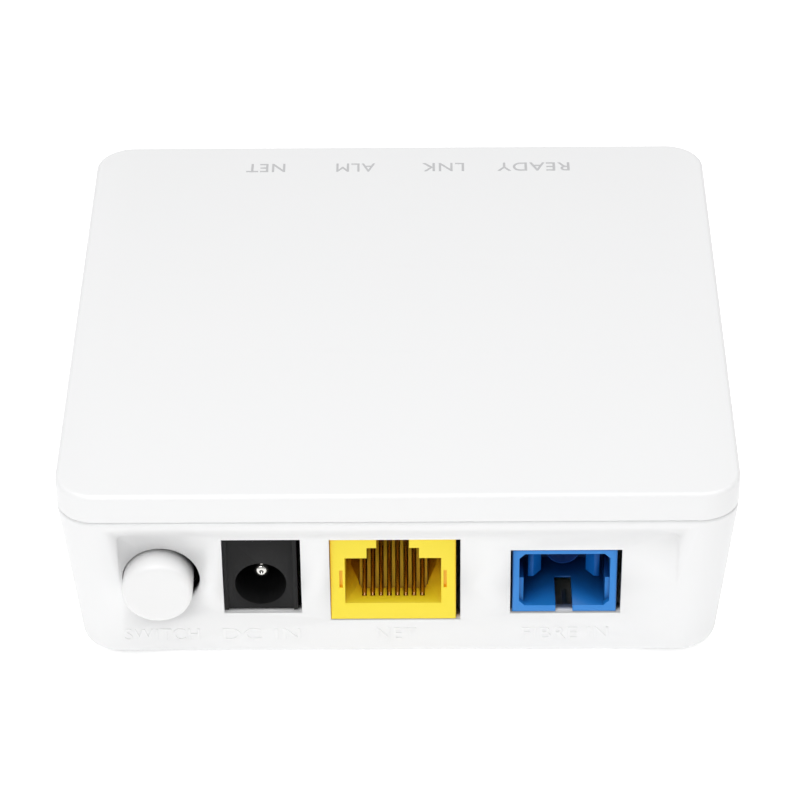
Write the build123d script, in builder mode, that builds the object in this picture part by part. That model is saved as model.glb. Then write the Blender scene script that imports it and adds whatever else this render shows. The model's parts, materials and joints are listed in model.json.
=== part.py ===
"""Optical network terminal: a small desk-top box that turns a fibre line into one LAN socket.

Millimetres, +Z up. The sockets face -Y (the back of the box in use), the indicator lights face +Y, and
+X is to the right when looking at the sockets. While modelling, the origin is on the desk under the middle
of the case; the finished pieces are written with it under the middle of the whole object, push button
included. The circuit board hangs upside down near the top of the case, so every socket stands under it.
"""

from build123d import *
from math import cos, radians, sin
import os

# ---------------------------------------------------------------- driving dimensions
CASE_WIDTH = 83.0
CASE_DEPTH = 80.0
CASE_HEIGHT = 27.0  # desk to the top of the cover
CORNER_RADIUS = 5.0
WALL = 1.8
FLOOR_Z = 0.8  # underside of the case, held up by the feet
RIM_Z = 22.9  # top of the case wall
COVER_Z = 22.95  # lower edge of the cover; the gap under it is the shadow line
DRAFT_INSET = 2.0  # how much narrower each side is at the floor than at the rim
FLOOR_FILLET = 1.6
COVER_FILLET = 0.6

PANEL_Y = -39.05  # upright socket panel, let into the sloping back wall
PANEL_HALF_WIDTH = 34.1
PANEL_TOP_Z = 21.1
PANEL_BOTTOM_Z = 5.0
FACE_Y = -38.5  # front faces of the sockets

BOARD_Z = 19.6  # component side of the board, facing down
BOARD_THICKNESS = 1.6
BOARD_TOP_Z = BOARD_Z + BOARD_THICKNESS
BOARD_HALF_WIDTH = 37.5
BOARD_BACK_Y = -36.6
BOARD_FRONT_Y = 35.2

BUTTON_X, BUTTON_Z = -29.35, 13.7
BUTTON_HOLE_X = -29.0
BUTTON_HOLE_RADIUS = 4.75
BUTTON_RADIUS = 4.3
BUTTON_TRAVEL = 2.5
POWER_X, POWER_Z = -16.9, 12.25  # axis of the power plug
LAN_X = -0.65
OPTICAL_X, OPTICAL_Z = 20.35, 12.9  # axis of the fibre ferrule

# Windows in the back wall: low x, high x, low z, high z
POWER_WINDOW = (-21.5, -11.9, 8.0, 19.7)
LAN_WINDOW = (-8.4, 7.6, 6.75, 19.65)
OPTICAL_WINDOW = (13.7, 27.3, 7.75, 17.95)

FOOT_X, FOOT_Y = 33.5, 32.0
FOOT_RADIUS = 4.0
FOOT_RECESS = 0.6
CASE_SCREWS = [(-FOOT_X, FOOT_Y), (FOOT_X, FOOT_Y)]
BOARD_POSTS = [(-33.5, -12.0), (10.5, -29.6), (33.5, -24.0), (-30.0, 21.0), (30.0, 21.0)]
HOOKS_Y = (-20.0, 12.0)
LIGHTS_X = (-18.3, -6.1, 6.1, 18.3)
LIGHT_Y = 32.5
WALL_HOOKS = [(-29.0, 0.0), (29.0, 0.0)]  # keyholes in the floor
KEYHOLE_RADIUS = 3.5
KEYHOLE_SLOT = 3.8
KEYHOLE_RUN = 6.5

CLEAR = 0.05  # gap between parts that only touch


def inset(z):
    """How far the sloping case wall stands in from the rim at height z."""
    return DRAFT_INSET * (RIM_Z - z) / (RIM_Z - FLOOR_Z)


def case_outline(z, wall, mode=Mode.ADD):
    """The case's rounded outline at height z, drawn in by a wall thickness."""
    shrink = 2 * (inset(z) + wall)
    RectangleRounded(CASE_WIDTH - shrink, CASE_DEPTH - shrink, CORNER_RADIUS - wall, mode=mode)


def block(x0, x1, y0, y1, z0, z1, mode=Mode.ADD):
    """A box between two corners, in the part being built."""
    with Locations(((x0 + x1) / 2, (y0 + y1) / 2, (z0 + z1) / 2)):
        Box(abs(x1 - x0), abs(y1 - y0), abs(z1 - z0), mode=mode)


def rod(x, y, z0, z1, radius, mode=Mode.ADD):
    """An upright round bar between two heights, in the part being built."""
    with Locations((x, y, (z0 + z1) / 2)):
        Cylinder(radius, abs(z1 - z0), mode=mode)


def barrel(x, z, y0, y1, radius, mode=Mode.ADD):
    """A round bar lying along Y between two depths, in the part being built."""
    with Locations(Location((x, (y0 + y1) / 2, z), (90, 0, 0))):
        Cylinder(radius, abs(y1 - y0), mode=mode)


# ---------------------------------------------------------------- enclosure
LIP_INSET = 1.0  # the case's inner lip, which the cover slides over
LIP_TOP_Z = 24.3
CEILING_Z = CASE_HEIGHT - WALL
FLOOR_TOP_Z = FLOOR_Z + WALL
TOWER_RADIUS = 3.1
TOWER_TOP_Z = 12.0
SCREW_SEAT_Z = 4.0
SCREW_HEAD_RADIUS = 2.7
SCREW_RADIUS = 1.4
POST_RADIUS = 2.4
SILL_RIB_X, SILL_RIB_WIDTH, SILL_RIB_TOP_Z = 20.6, 0.55, 6.2
SILL_RIB_END_Y = -31.9
PANEL_CORNER = 1.0
PANEL_CUT = (PANEL_Y - 2, PANEL_Y + 3.5)  # how far the socket windows are cut through the wall
POST_HOLE_RADIUS, POST_HOLE_DEPTH = 1.1, 8.0
VENT_PITCH, VENT_COUNT, VENT_ROW_PITCH = 4.2, 11, 15.0
VENT_LENGTH, VENT_WIDTH = 12.0, 1.8
HOOK_WIDTH = 6.0
HOOK_POCKET = (20.4, 21.9)  # low and high z of the pockets the cover's hooks snap into
GUIDE_Z = (23.5, 25.0)  # light guide, low and high z
GUIDE_HALF_WIDTH = 1.3
PEGS_X = (-12.2, 12.2)
PEG_Y = 35.8
LABEL = (44.0, 24.0, 0.2)  # label recess in the floor: width, depth, how deep
LABEL_Y = -14.0
VENTS_Y = 16.0  # both rows of vents stand well forward of the sockets
EDGE_ROUNDING = 0.35  # where the case and the cover meet
COVER_RIB_DEPTH, COVER_RIB_HALF = 1.4, 0.5
COVER_RIBS_Y, COVER_RIBS_X = (-12.0, 8.0), (-22.0, 22.0)

with BuildPart() as bottom_case:
    with BuildSketch(Plane.XY.offset(FLOOR_Z)):
        case_outline(FLOOR_Z, 0)
    with BuildSketch(Plane.XY.offset(RIM_Z)):
        case_outline(RIM_Z, 0)
    loft(ruled=True)
    fillet(bottom_case.faces().sort_by(Axis.Z)[0].edges(), FLOOR_FILLET)
    fillet(bottom_case.faces().sort_by(Axis.Z)[-1].edges(), EDGE_ROUNDING)
    with BuildSketch(Plane.XY.offset(FLOOR_TOP_Z)):
        case_outline(FLOOR_TOP_Z, WALL)
    with BuildSketch(Plane.XY.offset(RIM_Z)):
        case_outline(RIM_Z, WALL)
    loft(ruled=True, mode=Mode.SUBTRACT)
    with BuildSketch(Plane.XY.offset(RIM_Z - 1)):
        case_outline(RIM_Z, LIP_INSET)
        case_outline(RIM_Z, WALL, mode=Mode.SUBTRACT)
    extrude(amount=LIP_TOP_Z - RIM_Z + 1)

    # Upright socket panel let into the sloping wall: the recess is deepest at its top and runs out below
    with BuildSketch(Plane.XZ.offset(-PANEL_Y)):
        with Locations((0, (PANEL_TOP_Z + PANEL_BOTTOM_Z) / 2)):
            RectangleRounded(2 * PANEL_HALF_WIDTH, PANEL_TOP_Z - PANEL_BOTTOM_Z, PANEL_CORNER)
    extrude(amount=3, mode=Mode.SUBTRACT)
    for low_x, high_x, low_z, high_z in (POWER_WINDOW, LAN_WINDOW, OPTICAL_WINDOW):
        block(low_x, high_x, *PANEL_CUT, low_z, high_z, mode=Mode.SUBTRACT)
    barrel(BUTTON_HOLE_X, BUTTON_Z, *PANEL_CUT, BUTTON_HOLE_RADIUS, mode=Mode.SUBTRACT)

    # Floor: vents, keyholes for hanging on a wall, and the shallow recess for the label
    with BuildSketch(Plane.XY.offset(FLOOR_Z)):
        with Locations((0, VENTS_Y)):
            with GridLocations(VENT_PITCH, VENT_ROW_PITCH, VENT_COUNT, 2):
                SlotOverall(VENT_LENGTH, VENT_WIDTH, rotation=90)
    extrude(amount=WALL, mode=Mode.SUBTRACT)
    with BuildSketch(Plane.XY.offset(FLOOR_Z)):
        with Locations(*WALL_HOOKS):
            Circle(KEYHOLE_RADIUS)
        with Locations(*[(x, y + KEYHOLE_RUN / 2) for x, y in WALL_HOOKS]):
            SlotOverall(KEYHOLE_RUN + KEYHOLE_SLOT, KEYHOLE_SLOT, rotation=90)
    extrude(amount=WALL, mode=Mode.SUBTRACT)
    with BuildSketch(Plane.XY.offset(FLOOR_Z)):
        with Locations((0, LABEL_Y)):
            RectangleRounded(LABEL[0] + 0.4, LABEL[1] + 0.4, 1.2)
    extrude(amount=LABEL[2], mode=Mode.SUBTRACT)

    # Posts under the board, and towers for the two case screws hidden under the front feet
    for x, y in BOARD_POSTS:
        rod(x, y, FLOOR_TOP_Z - 0.5, BOARD_Z, POST_RADIUS)
        rod(x, y, BOARD_Z - POST_HOLE_DEPTH, BOARD_Z, POST_HOLE_RADIUS, mode=Mode.SUBTRACT)
    for x, y in CASE_SCREWS:
        rod(x, y, FLOOR_TOP_Z - 0.5, TOWER_TOP_Z, TOWER_RADIUS + 0.9)
        rod(x, y, FLOOR_Z, SCREW_SEAT_Z, SCREW_HEAD_RADIUS + 0.2, mode=Mode.SUBTRACT)
        rod(x, y, SCREW_SEAT_Z, TOWER_TOP_Z, SCREW_RADIUS + 0.2, mode=Mode.SUBTRACT)
    for x in (-FOOT_X, FOOT_X):
        for y in (-FOOT_Y, FOOT_Y):
            rod(x, y, FLOOR_Z, FLOOR_Z + FOOT_RECESS, FOOT_RADIUS + 0.1, mode=Mode.SUBTRACT)

    # Thin rib that stiffens the sill under the fibre socket
    block(
        SILL_RIB_X - SILL_RIB_WIDTH / 2, SILL_RIB_X + SILL_RIB_WIDTH / 2,
        -CASE_DEPTH / 2 + DRAFT_INSET + WALL - 0.5, SILL_RIB_END_Y,
        FLOOR_TOP_Z - 0.5, SILL_RIB_TOP_Z,
    )

    # Pockets for the cover's snap hooks, and notches that let the light guide through the lip
    pocket_x = CASE_WIDTH / 2 - inset(HOOK_POCKET[0]) - WALL
    for side in (-1, 1):
        for y in HOOKS_Y:
            block(
                side * (pocket_x - 0.5), side * (pocket_x + 0.7),
                y - HOOK_WIDTH / 2 - 0.3, y + HOOK_WIDTH / 2 + 0.3,
                *HOOK_POCKET, mode=Mode.SUBTRACT,
            )
    for x in LIGHTS_X:
        block(
            x - GUIDE_HALF_WIDTH - 0.3, x + GUIDE_HALF_WIDTH + 0.3, CASE_DEPTH / 2 - 3, CASE_DEPTH / 2,
            RIM_Z + 0.3, LIP_TOP_Z, mode=Mode.SUBTRACT,
        )

with BuildPart() as top_cover:
    with BuildSketch(Plane.XY.offset(COVER_Z)):
        case_outline(RIM_Z, 0)
    extrude(amount=CASE_HEIGHT - COVER_Z)
    fillet(top_cover.faces().sort_by(Axis.Z)[-1].edges(), COVER_FILLET)
    fillet(top_cover.faces().sort_by(Axis.Z)[0].edges(), EDGE_ROUNDING)
    with BuildSketch(Plane.XY.offset(COVER_Z)):
        case_outline(RIM_Z, WALL)
    extrude(amount=CEILING_Z - COVER_Z, mode=Mode.SUBTRACT)
    with BuildSketch(Plane.XY.offset(COVER_Z)):
        case_outline(RIM_Z, LIP_INSET - 0.1)
    extrude(amount=LIP_TOP_Z + 0.1 - COVER_Z, mode=Mode.SUBTRACT)
    # Bosses that the case screws bite into, stiffening ribs, and pegs that carry the light guide
    for x, y in CASE_SCREWS:
        rod(x, y, TOWER_TOP_Z + 0.1, CEILING_Z + 0.5, TOWER_RADIUS)
        rod(x, y, TOWER_TOP_Z + 0.1, CEILING_Z - 3, SCREW_RADIUS + CLEAR, mode=Mode.SUBTRACT)
    rib_z = (CEILING_Z - COVER_RIB_DEPTH, CEILING_Z + 0.5)
    for y in COVER_RIBS_Y:
        block(-30, 30, y - COVER_RIB_HALF, y + COVER_RIB_HALF, *rib_z)
    for x in COVER_RIBS_X:
        block(x - COVER_RIB_HALF, x + COVER_RIB_HALF, -26, 22, *rib_z)
    for x in PEGS_X:
        rod(x, PEG_Y, GUIDE_Z[0] - 0.2, CEILING_Z + 0.5, 0.8)
    # Snap hooks: a springy tongue with a sloping barb that sits in the case's pocket
    hook_face = pocket_x - 0.2
    for side in (-1, 1):
        for y in HOOKS_Y:
            with BuildSketch(Plane.XZ.offset(-y - HOOK_WIDTH / 2)):
                with BuildLine():
                    Polyline(
                        (side * (hook_face - 1.1), CEILING_Z + 0.5),
                        (side * hook_face, CEILING_Z + 0.5),
                        (side * hook_face, HOOK_POCKET[1] - 0.1),
                        (side * (hook_face + 0.6), HOOK_POCKET[1] - 0.2),
                        (side * hook_face, HOOK_POCKET[0] - 0.2),
                        (side * (hook_face - 0.7), HOOK_POCKET[0] - 0.2),
                        close=True,
                    )
                make_face()
            extrude(amount=HOOK_WIDTH)
    for x in LIGHTS_X:
        block(
            x - GUIDE_HALF_WIDTH - CLEAR, x + GUIDE_HALF_WIDTH + CLEAR,
            CASE_DEPTH / 2 - 3, CASE_DEPTH / 2 + 1,
            GUIDE_Z[0] - CLEAR, GUIDE_Z[1] + CLEAR, mode=Mode.SUBTRACT,
        )

with BuildPart() as light_guide:
    # Four prongs on one bar; each prong's sloping back end turns its light towards the window
    for x in LIGHTS_X:
        with BuildSketch(Plane.YZ.offset(x - GUIDE_HALF_WIDTH)):
            with BuildLine():
                Polyline(
                    (LIGHT_Y - 1.3, GUIDE_Z[0]),
                    (CASE_DEPTH / 2 - 0.1, GUIDE_Z[0]),
                    (CASE_DEPTH / 2 - 0.1, GUIDE_Z[1]),
                    (LIGHT_Y + 0.1, GUIDE_Z[1]),
                    close=True,
                )
            make_face()
        extrude(amount=2 * GUIDE_HALF_WIDTH)
    block(LIGHTS_X[0], LIGHTS_X[-1], PEG_Y - 0.8, PEG_Y + 0.8, *GUIDE_Z)
    for x in PEGS_X:
        rod(x, PEG_Y, *GUIDE_Z, 1.7)
        rod(x, PEG_Y, *GUIDE_Z, 0.85, mode=Mode.SUBTRACT)

with BuildPart() as rubber_feet:
    feet = [(x, y, FLOOR_Z + FOOT_RECESS) for x in (-FOOT_X, FOOT_X) for y in (-FOOT_Y, FOOT_Y)]
    with Locations(*feet):
        Cylinder(FOOT_RADIUS, FLOOR_Z + FOOT_RECESS, align=(Align.CENTER, Align.CENTER, Align.MAX))
    fillet(rubber_feet.edges().group_by(Axis.Z)[0], 0.4)

with BuildPart() as blank_label:
    with BuildSketch(Plane.XY.offset(FLOOR_Z + 0.05)):
        with Locations((0, LABEL_Y)):
            RectangleRounded(LABEL[0], LABEL[1], 1.0)
    extrude(amount=LABEL[2] - 0.05)


def pan_screw(x, y, seat_z, direction, head_radius, radius, length):
    """A cross-recessed pan-head screw with its head on seat_z; direction 1 points the shank up, -1 down."""
    head = 0.72 * head_radius
    rod(x, y, seat_z - direction * head, seat_z, head_radius)
    rod(x, y, seat_z, seat_z + direction * length, radius)
    slot = head_radius * 1.1
    z0, z1 = seat_z - direction * head, seat_z - direction * 0.45 * head
    block(x - slot / 2, x + slot / 2, y - 0.25, y + 0.25, z0, z1, mode=Mode.SUBTRACT)
    block(x - 0.25, x + 0.25, y - slot / 2, y + slot / 2, z0, z1, mode=Mode.SUBTRACT)


with BuildPart() as case_screws:
    for x, y in CASE_SCREWS:
        pan_screw(x, y, SCREW_SEAT_Z - CLEAR, 1, SCREW_HEAD_RADIUS, SCREW_RADIUS, 16)

with BuildPart() as board_screws:
    for x, y in BOARD_POSTS:
        pan_screw(x, y, BOARD_TOP_Z + CLEAR, -1, 2.1, 1.0, 8)

# ---------------------------------------------------------------- circuit board
LEAD_LENGTH, LEAD_THICKNESS = 0.85, 0.25
REGULATORS = [(-17.0, -14.0), (-26.0, -6.0)]
SMALL_PITCH = 1.3
SMALL_PARTS = [(0.0, 22.0, 10), (12.5, 22.0, 8), (-9.0, -8.5, 6), (21.0, -2.0, 5), (-17.0, 24.0, 5)]
# Solder pins, all through the board: x, y of each
PIN_RADIUS = 0.35
PIN_TIP_Z = BOARD_TOP_Z + 1.0
SWITCH_PINS = [(BUTTON_X + dx, y) for dx in (-2.5, 2.5) for y in (-30.6, -28.1, -25.6)]
POWER_PINS = [(POWER_X, -25.3), (POWER_X, -29.3), (POWER_X + 3.6, -28.0)]
LAN_PITCH = 1.02
LAN_COLUMNS = [LAN_X + LAN_PITCH * (i - 3.5) for i in range(8)]
LAN_PINS = [(x, -23.4 if i % 2 else -25.1) for i, x in enumerate(LAN_COLUMNS)]
LAN_PEGS = [(LAN_X + dx, -31.5) for dx in (-5.7, 5.7)]
OPTICAL_PEGS = [(OPTICAL_X + dx, y) for dx in (-5.0, 5.0) for y in (-35.0, -30.0)]
LASER_PINS = [(OPTICAL_X - 1.2, -8.2), (OPTICAL_X, -7.0), (OPTICAL_X + 1.2, -8.2)]
DIODE_Y, DIODE_BACK_X = -20.8, OPTICAL_X + 7.0
DIODE_PINS = [(DIODE_BACK_X + 1.4, DIODE_Y + dy) for dy in (-1.2, 0.0, 1.2)]
PEG_RADIUS = 0.8

with BuildPart() as circuit_board:
    block(-BOARD_HALF_WIDTH, BOARD_HALF_WIDTH, BOARD_BACK_Y, BOARD_FRONT_Y, BOARD_Z, BOARD_TOP_Z)
    for side in (-1, 1):  # front corners stand clear of the cover's screw bosses
        block(side * 29.5, side * 39, 27.8, 36, BOARD_Z, BOARD_TOP_Z, mode=Mode.SUBTRACT)
    fillet(circuit_board.edges().filter_by(Axis.Z), 0.8)
    with Locations(*[(x, y, BOARD_TOP_Z) for x, y in BOARD_POSTS]):
        Hole(1.25, depth=BOARD_THICKNESS)
    with Locations(
        *[(x, y, BOARD_TOP_Z) for x, y in SWITCH_PINS + POWER_PINS + LAN_PINS + LASER_PINS + DIODE_PINS]
    ):
        Hole(PIN_RADIUS + CLEAR, depth=BOARD_THICKNESS)
    with Locations(*[(x, y, BOARD_TOP_Z) for x, y in LAN_PEGS + OPTICAL_PEGS]):
        Hole(PEG_RADIUS + CLEAR, depth=BOARD_THICKNESS)


def chip(x, y, width, depth, height, gap=0.1):
    """A moulded chip body hanging under the board."""
    block(x - width / 2, x + width / 2, y - depth / 2, y + depth / 2, BOARD_Z - gap - height, BOARD_Z - gap)


def lead_rows(x, y, count, pitch, body, turn=0):
    """Two rows of leads, one down each side of a chip body; turn 90 puts the rows left and right."""
    with Locations(Location((x, y, BOARD_Z - LEAD_THICKNESS / 2 - CLEAR), (0, 0, turn))):
        with GridLocations(pitch, body + LEAD_LENGTH + 2 * CLEAR, count, 2):
            Box(0.3, LEAD_LENGTH, LEAD_THICKNESS)


def small_part_row(x, y, count, width, depth, height):
    """A row of equal small components on a fixed pitch, centred on x, y."""
    with Locations((x, y, BOARD_Z - CLEAR - height / 2)):
        with GridLocations(SMALL_PITCH, 1, count, 1):
            Box(width, depth, height)


with BuildPart() as main_chip:
    chip(4.0, 4.0, 14.0, 14.0, 1.2, gap=0.3)

with BuildPart() as main_chip_balls:
    with Locations((4.0, 4.0, BOARD_Z - 0.175)):
        with GridLocations(1.5, 1.5, 8, 8):
            Cylinder(0.25, 0.25)

with BuildPart() as thermal_pad:
    block(-2.5, 10.5, -2.5, 10.5, BOARD_Z - 2.1, BOARD_Z - 1.5)

with BuildPart() as heat_sink:
    top = BOARD_Z - 2.1
    block(-6.0, 14.0, -6.0, 14.0, top - 1.4, top)
    for i in range(8):
        x = -6.0 + i * 19.0 / 7
        block(x, x + 1.0, -6.0, 14.0, top - 6.5, top - 1.4)

with BuildPart() as memory_chip:
    chip(-12.0, 6.0, 10.2, 18.4, 1.0)

with BuildPart() as flash_chip:
    chip(22.0, 6.0, 5.3, 5.3, 1.7)

with BuildPart() as driver_chip:
    chip(11.5, -16.0, 4.0, 4.0, 0.8, gap=0.05)

with BuildPart() as regulator_chips:
    for x, y in REGULATORS:
        chip(x, y, 3.9, 4.9, 1.5)

with BuildPart() as chip_leads:
    lead_rows(-12.0, 6.0, 22, 0.8, 10.2, turn=90)
    lead_rows(22.0, 6.0, 4, 1.27, 5.3)
    for x, y in REGULATORS:
        lead_rows(x, y, 4, 1.27, 3.9, turn=90)

with BuildPart() as lan_transformer:
    chip(LAN_X, -14.5, 12.7, 7.1, 4.5, gap=0.3)
    fillet(lan_transformer.edges().group_by(Axis.Z)[0], 0.3)

with BuildPart() as transformer_leads:
    lead_rows(LAN_X, -14.5, 8, 1.5, 7.1)

with BuildPart() as crystal:
    with BuildSketch(Plane.XY.offset(BOARD_Z - 0.2)):
        with Locations((17.0, 17.5)):
            SlotOverall(10.5, 4.2)
    extrude(amount=-3.4)
    fillet(crystal.edges().group_by(Axis.Z)[0], 0.5)

with BuildPart() as power_inductors:
    for x, y in ((-22.0, 10.0), (-22.0, 1.0)):
        with Locations((x, y, BOARD_Z - 0.1)):
            Box(6.0, 6.0, 2.8, align=(Align.CENTER, Align.CENTER, Align.MAX))
    fillet(power_inductors.edges().filter_by(Axis.Z), 1.0)

CAPACITORS = [(-30.0, 12.0, 4.0, 10.5), (-30.0, 2.5, 3.15, 8.0), (29.0, 12.5, 2.5, 6.0)]
with BuildPart() as capacitor_cans:
    for x, y, radius, height in CAPACITORS:
        rod(x, y, BOARD_Z - 0.6 - height, BOARD_Z - 0.6, radius)
    fillet(capacitor_cans.edges().group_by(Axis.Z)[0], 0.4)
    fillet(capacitor_cans.edges().group_by(Axis.Z)[-1], 0.4)

with BuildPart() as capacitor_bases:
    for x, y, radius, height in CAPACITORS:
        block(x - radius, x + radius, y - radius, y + radius, BOARD_Z - 0.55, BOARD_Z - CLEAR)

with BuildPart() as smd_capacitors:
    for x, y, count in SMALL_PARTS:
        small_part_row(x, y, count, 0.8, 1.5, 0.8)

with BuildPart() as smd_resistors:
    for x, y, count in SMALL_PARTS:
        small_part_row(x, y + 2.6, count, 0.8, 1.5, 0.45)

with BuildPart() as indicator_lights:
    for x in LIGHTS_X:
        block(x - 0.8, x + 0.8, LIGHT_Y - 0.6, LIGHT_Y + 0.6, BOARD_TOP_Z + CLEAR, BOARD_TOP_Z + 0.8)

# ---------------------------------------------------------------- power switch and its button
SWITCH_FRONT_Y, SWITCH_BACK_Y = -33.6, -20.6
SWITCH_HALF_WIDTH = 4.2
SWITCH_LOW_Z = 9.2
CHAMBER = (-32.6, -21.4)  # front and back of the room the slider moves in
SLIDER_HALF = 2.8
STEM_HALF = 1.9
CAP_FRONT_Y, CAP_BACK_Y = -42.2, -36.3
SLIDER_FRONT_Y, SLIDER_BACK_Y = CHAMBER[0] + 0.1, -27.2
SPRING_RADIUS = 1.55
WIRE_RADIUS = 0.2
LATCH_PIVOT_Y, LATCH_TIP_Y = -22.3, -28.6
LATCH_Z = 10.35
LATCH_RADIUS = 0.25

with BuildPart() as switch_housing:
    block(
        BUTTON_X - SWITCH_HALF_WIDTH, BUTTON_X + SWITCH_HALF_WIDTH, SWITCH_FRONT_Y, SWITCH_BACK_Y,
        SWITCH_LOW_Z, BOARD_Z - CLEAR,
    )
    fillet(switch_housing.edges().filter_by(Axis.Y), 0.4)
    room = SLIDER_HALF + 0.15
    block(
        BUTTON_X - room, BUTTON_X + room, *CHAMBER, BUTTON_Z - room, BUTTON_Z + room + 0.9,
        mode=Mode.SUBTRACT,
    )
    hole = STEM_HALF + 0.15
    block(
        BUTTON_X - hole, BUTTON_X + hole, SWITCH_FRONT_Y, CHAMBER[0],
        BUTTON_Z - hole, BUTTON_Z + hole, mode=Mode.SUBTRACT,
    )
    # Room under the slider for the latch wire to swing, and bores for the terminals
    block(
        BUTTON_X - 1.2, BUTTON_X + 1.2, LATCH_TIP_Y - 0.6, LATCH_PIVOT_Y + 0.6,
        LATCH_Z - 0.45, BUTTON_Z - room, mode=Mode.SUBTRACT,
    )
    for x, y in SWITCH_PINS:
        rod(x, y, BUTTON_Z + room, BOARD_Z, PIN_RADIUS + CLEAR, mode=Mode.SUBTRACT)

with BuildPart() as switch_terminals:
    for x, y in SWITCH_PINS:
        rod(x, y, BUTTON_Z + room + 0.65, PIN_TIP_Z, PIN_RADIUS)

with BuildPart() as switch_slider:
    block(
        BUTTON_X - SLIDER_HALF, BUTTON_X + SLIDER_HALF, SLIDER_FRONT_Y, SLIDER_BACK_Y,
        BUTTON_Z - SLIDER_HALF, BUTTON_Z + SLIDER_HALF,
    )
    block(
        BUTTON_X - STEM_HALF, BUTTON_X + STEM_HALF, CAP_BACK_Y - 3.0, SLIDER_FRONT_Y,
        BUTTON_Z - STEM_HALF, BUTTON_Z + STEM_HALF,
    )
    barrel(BUTTON_X, BUTTON_Z, SLIDER_BACK_Y - 2.2, SLIDER_BACK_Y, SPRING_RADIUS + 0.5, mode=Mode.SUBTRACT)
    # Cam pocket for the latch wire's tip, long enough for the whole travel
    block(
        BUTTON_X - 1.0, BUTTON_X + 1.0, LATCH_TIP_Y - BUTTON_TRAVEL - 0.6, LATCH_TIP_Y + 0.6,
        BUTTON_Z - SLIDER_HALF, BUTTON_Z - SLIDER_HALF + 0.7, mode=Mode.SUBTRACT,
    )

with BuildPart() as switch_wipers:
    # Two bridging contacts on top of the slider, one under each row of terminals
    for dx in (-2.5, 2.5):
        block(
            BUTTON_X + dx - 0.25, BUTTON_X + dx + 0.25, -31.4, -28.4,
            BUTTON_Z + SLIDER_HALF + CLEAR, BUTTON_Z + room + 0.55,
        )

with BuildPart() as switch_latch_wire:
    with BuildLine():
        Polyline(
            (BUTTON_X, LATCH_PIVOT_Y, LATCH_Z),
            (BUTTON_X, LATCH_TIP_Y, LATCH_Z),
            (BUTTON_X, LATCH_TIP_Y, LATCH_Z + 1.1),
        )
    with BuildSketch(Plane(origin=(BUTTON_X, LATCH_PIVOT_Y, LATCH_Z), z_dir=(0, -1, 0))):
        Circle(LATCH_RADIUS)
    sweep(transition=Transition.RIGHT)

spring_front_y, spring_back_y = SLIDER_BACK_Y - 2.2 + CLEAR, CHAMBER[1] - CLEAR
spring_length = spring_back_y - spring_front_y - 2 * WIRE_RADIUS
with BuildPart() as switch_spring:
    with BuildLine():
        coil = Helix(
            pitch=spring_length / 7, height=spring_length, radius=SPRING_RADIUS,
            center=(BUTTON_X, spring_front_y + WIRE_RADIUS, BUTTON_Z), direction=(0, 1, 0),
        )
    with BuildSketch(Plane(origin=coil @ 0, z_dir=coil % 0)):
        Circle(WIRE_RADIUS)
    sweep()

with BuildPart() as button_cap:
    barrel(BUTTON_X, BUTTON_Z, CAP_FRONT_Y, CAP_BACK_Y, BUTTON_RADIUS)
    fillet(button_cap.edges().sort_by(Axis.Y)[0], 0.7)
    # Shallow finger dish in the front, and a hollow back with a square socket for the stem
    dish_radius = 22.0
    with Locations((BUTTON_X, CAP_FRONT_Y + 0.22 - dish_radius, BUTTON_Z)):
        Sphere(dish_radius, mode=Mode.SUBTRACT)
    barrel(BUTTON_X, BUTTON_Z, CAP_FRONT_Y + 1.6, CAP_BACK_Y, BUTTON_RADIUS - 0.9, mode=Mode.SUBTRACT)
    block(
        BUTTON_X - STEM_HALF - 0.7, BUTTON_X + STEM_HALF + 0.7, CAP_FRONT_Y + 1.6, CAP_BACK_Y,
        BUTTON_Z - STEM_HALF - 0.7, BUTTON_Z + STEM_HALF + 0.7,
    )
    stem_room = STEM_HALF + CLEAR
    block(
        BUTTON_X - stem_room, BUTTON_X + stem_room, CAP_BACK_Y - 3.0 - CLEAR, CAP_BACK_Y,
        BUTTON_Z - stem_room, BUTTON_Z + stem_room, mode=Mode.SUBTRACT,
    )

# ---------------------------------------------------------------- power socket
POWER_BORE = 3.15
POWER_DEPTH = 9.5
POWER_BACK_Y = FACE_Y + 14.2
POWER_HALF_WIDTH = 4.5
POWER_LOW_Z = 8.4
PIN_START_Y = FACE_Y + 2.6
LEAF_ROOT_Y, LEAF_TIP_Y = FACE_Y + POWER_DEPTH - 0.5, FACE_Y + 2.6
LEAF_Z = POWER_Z + POWER_BORE + 0.75

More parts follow.
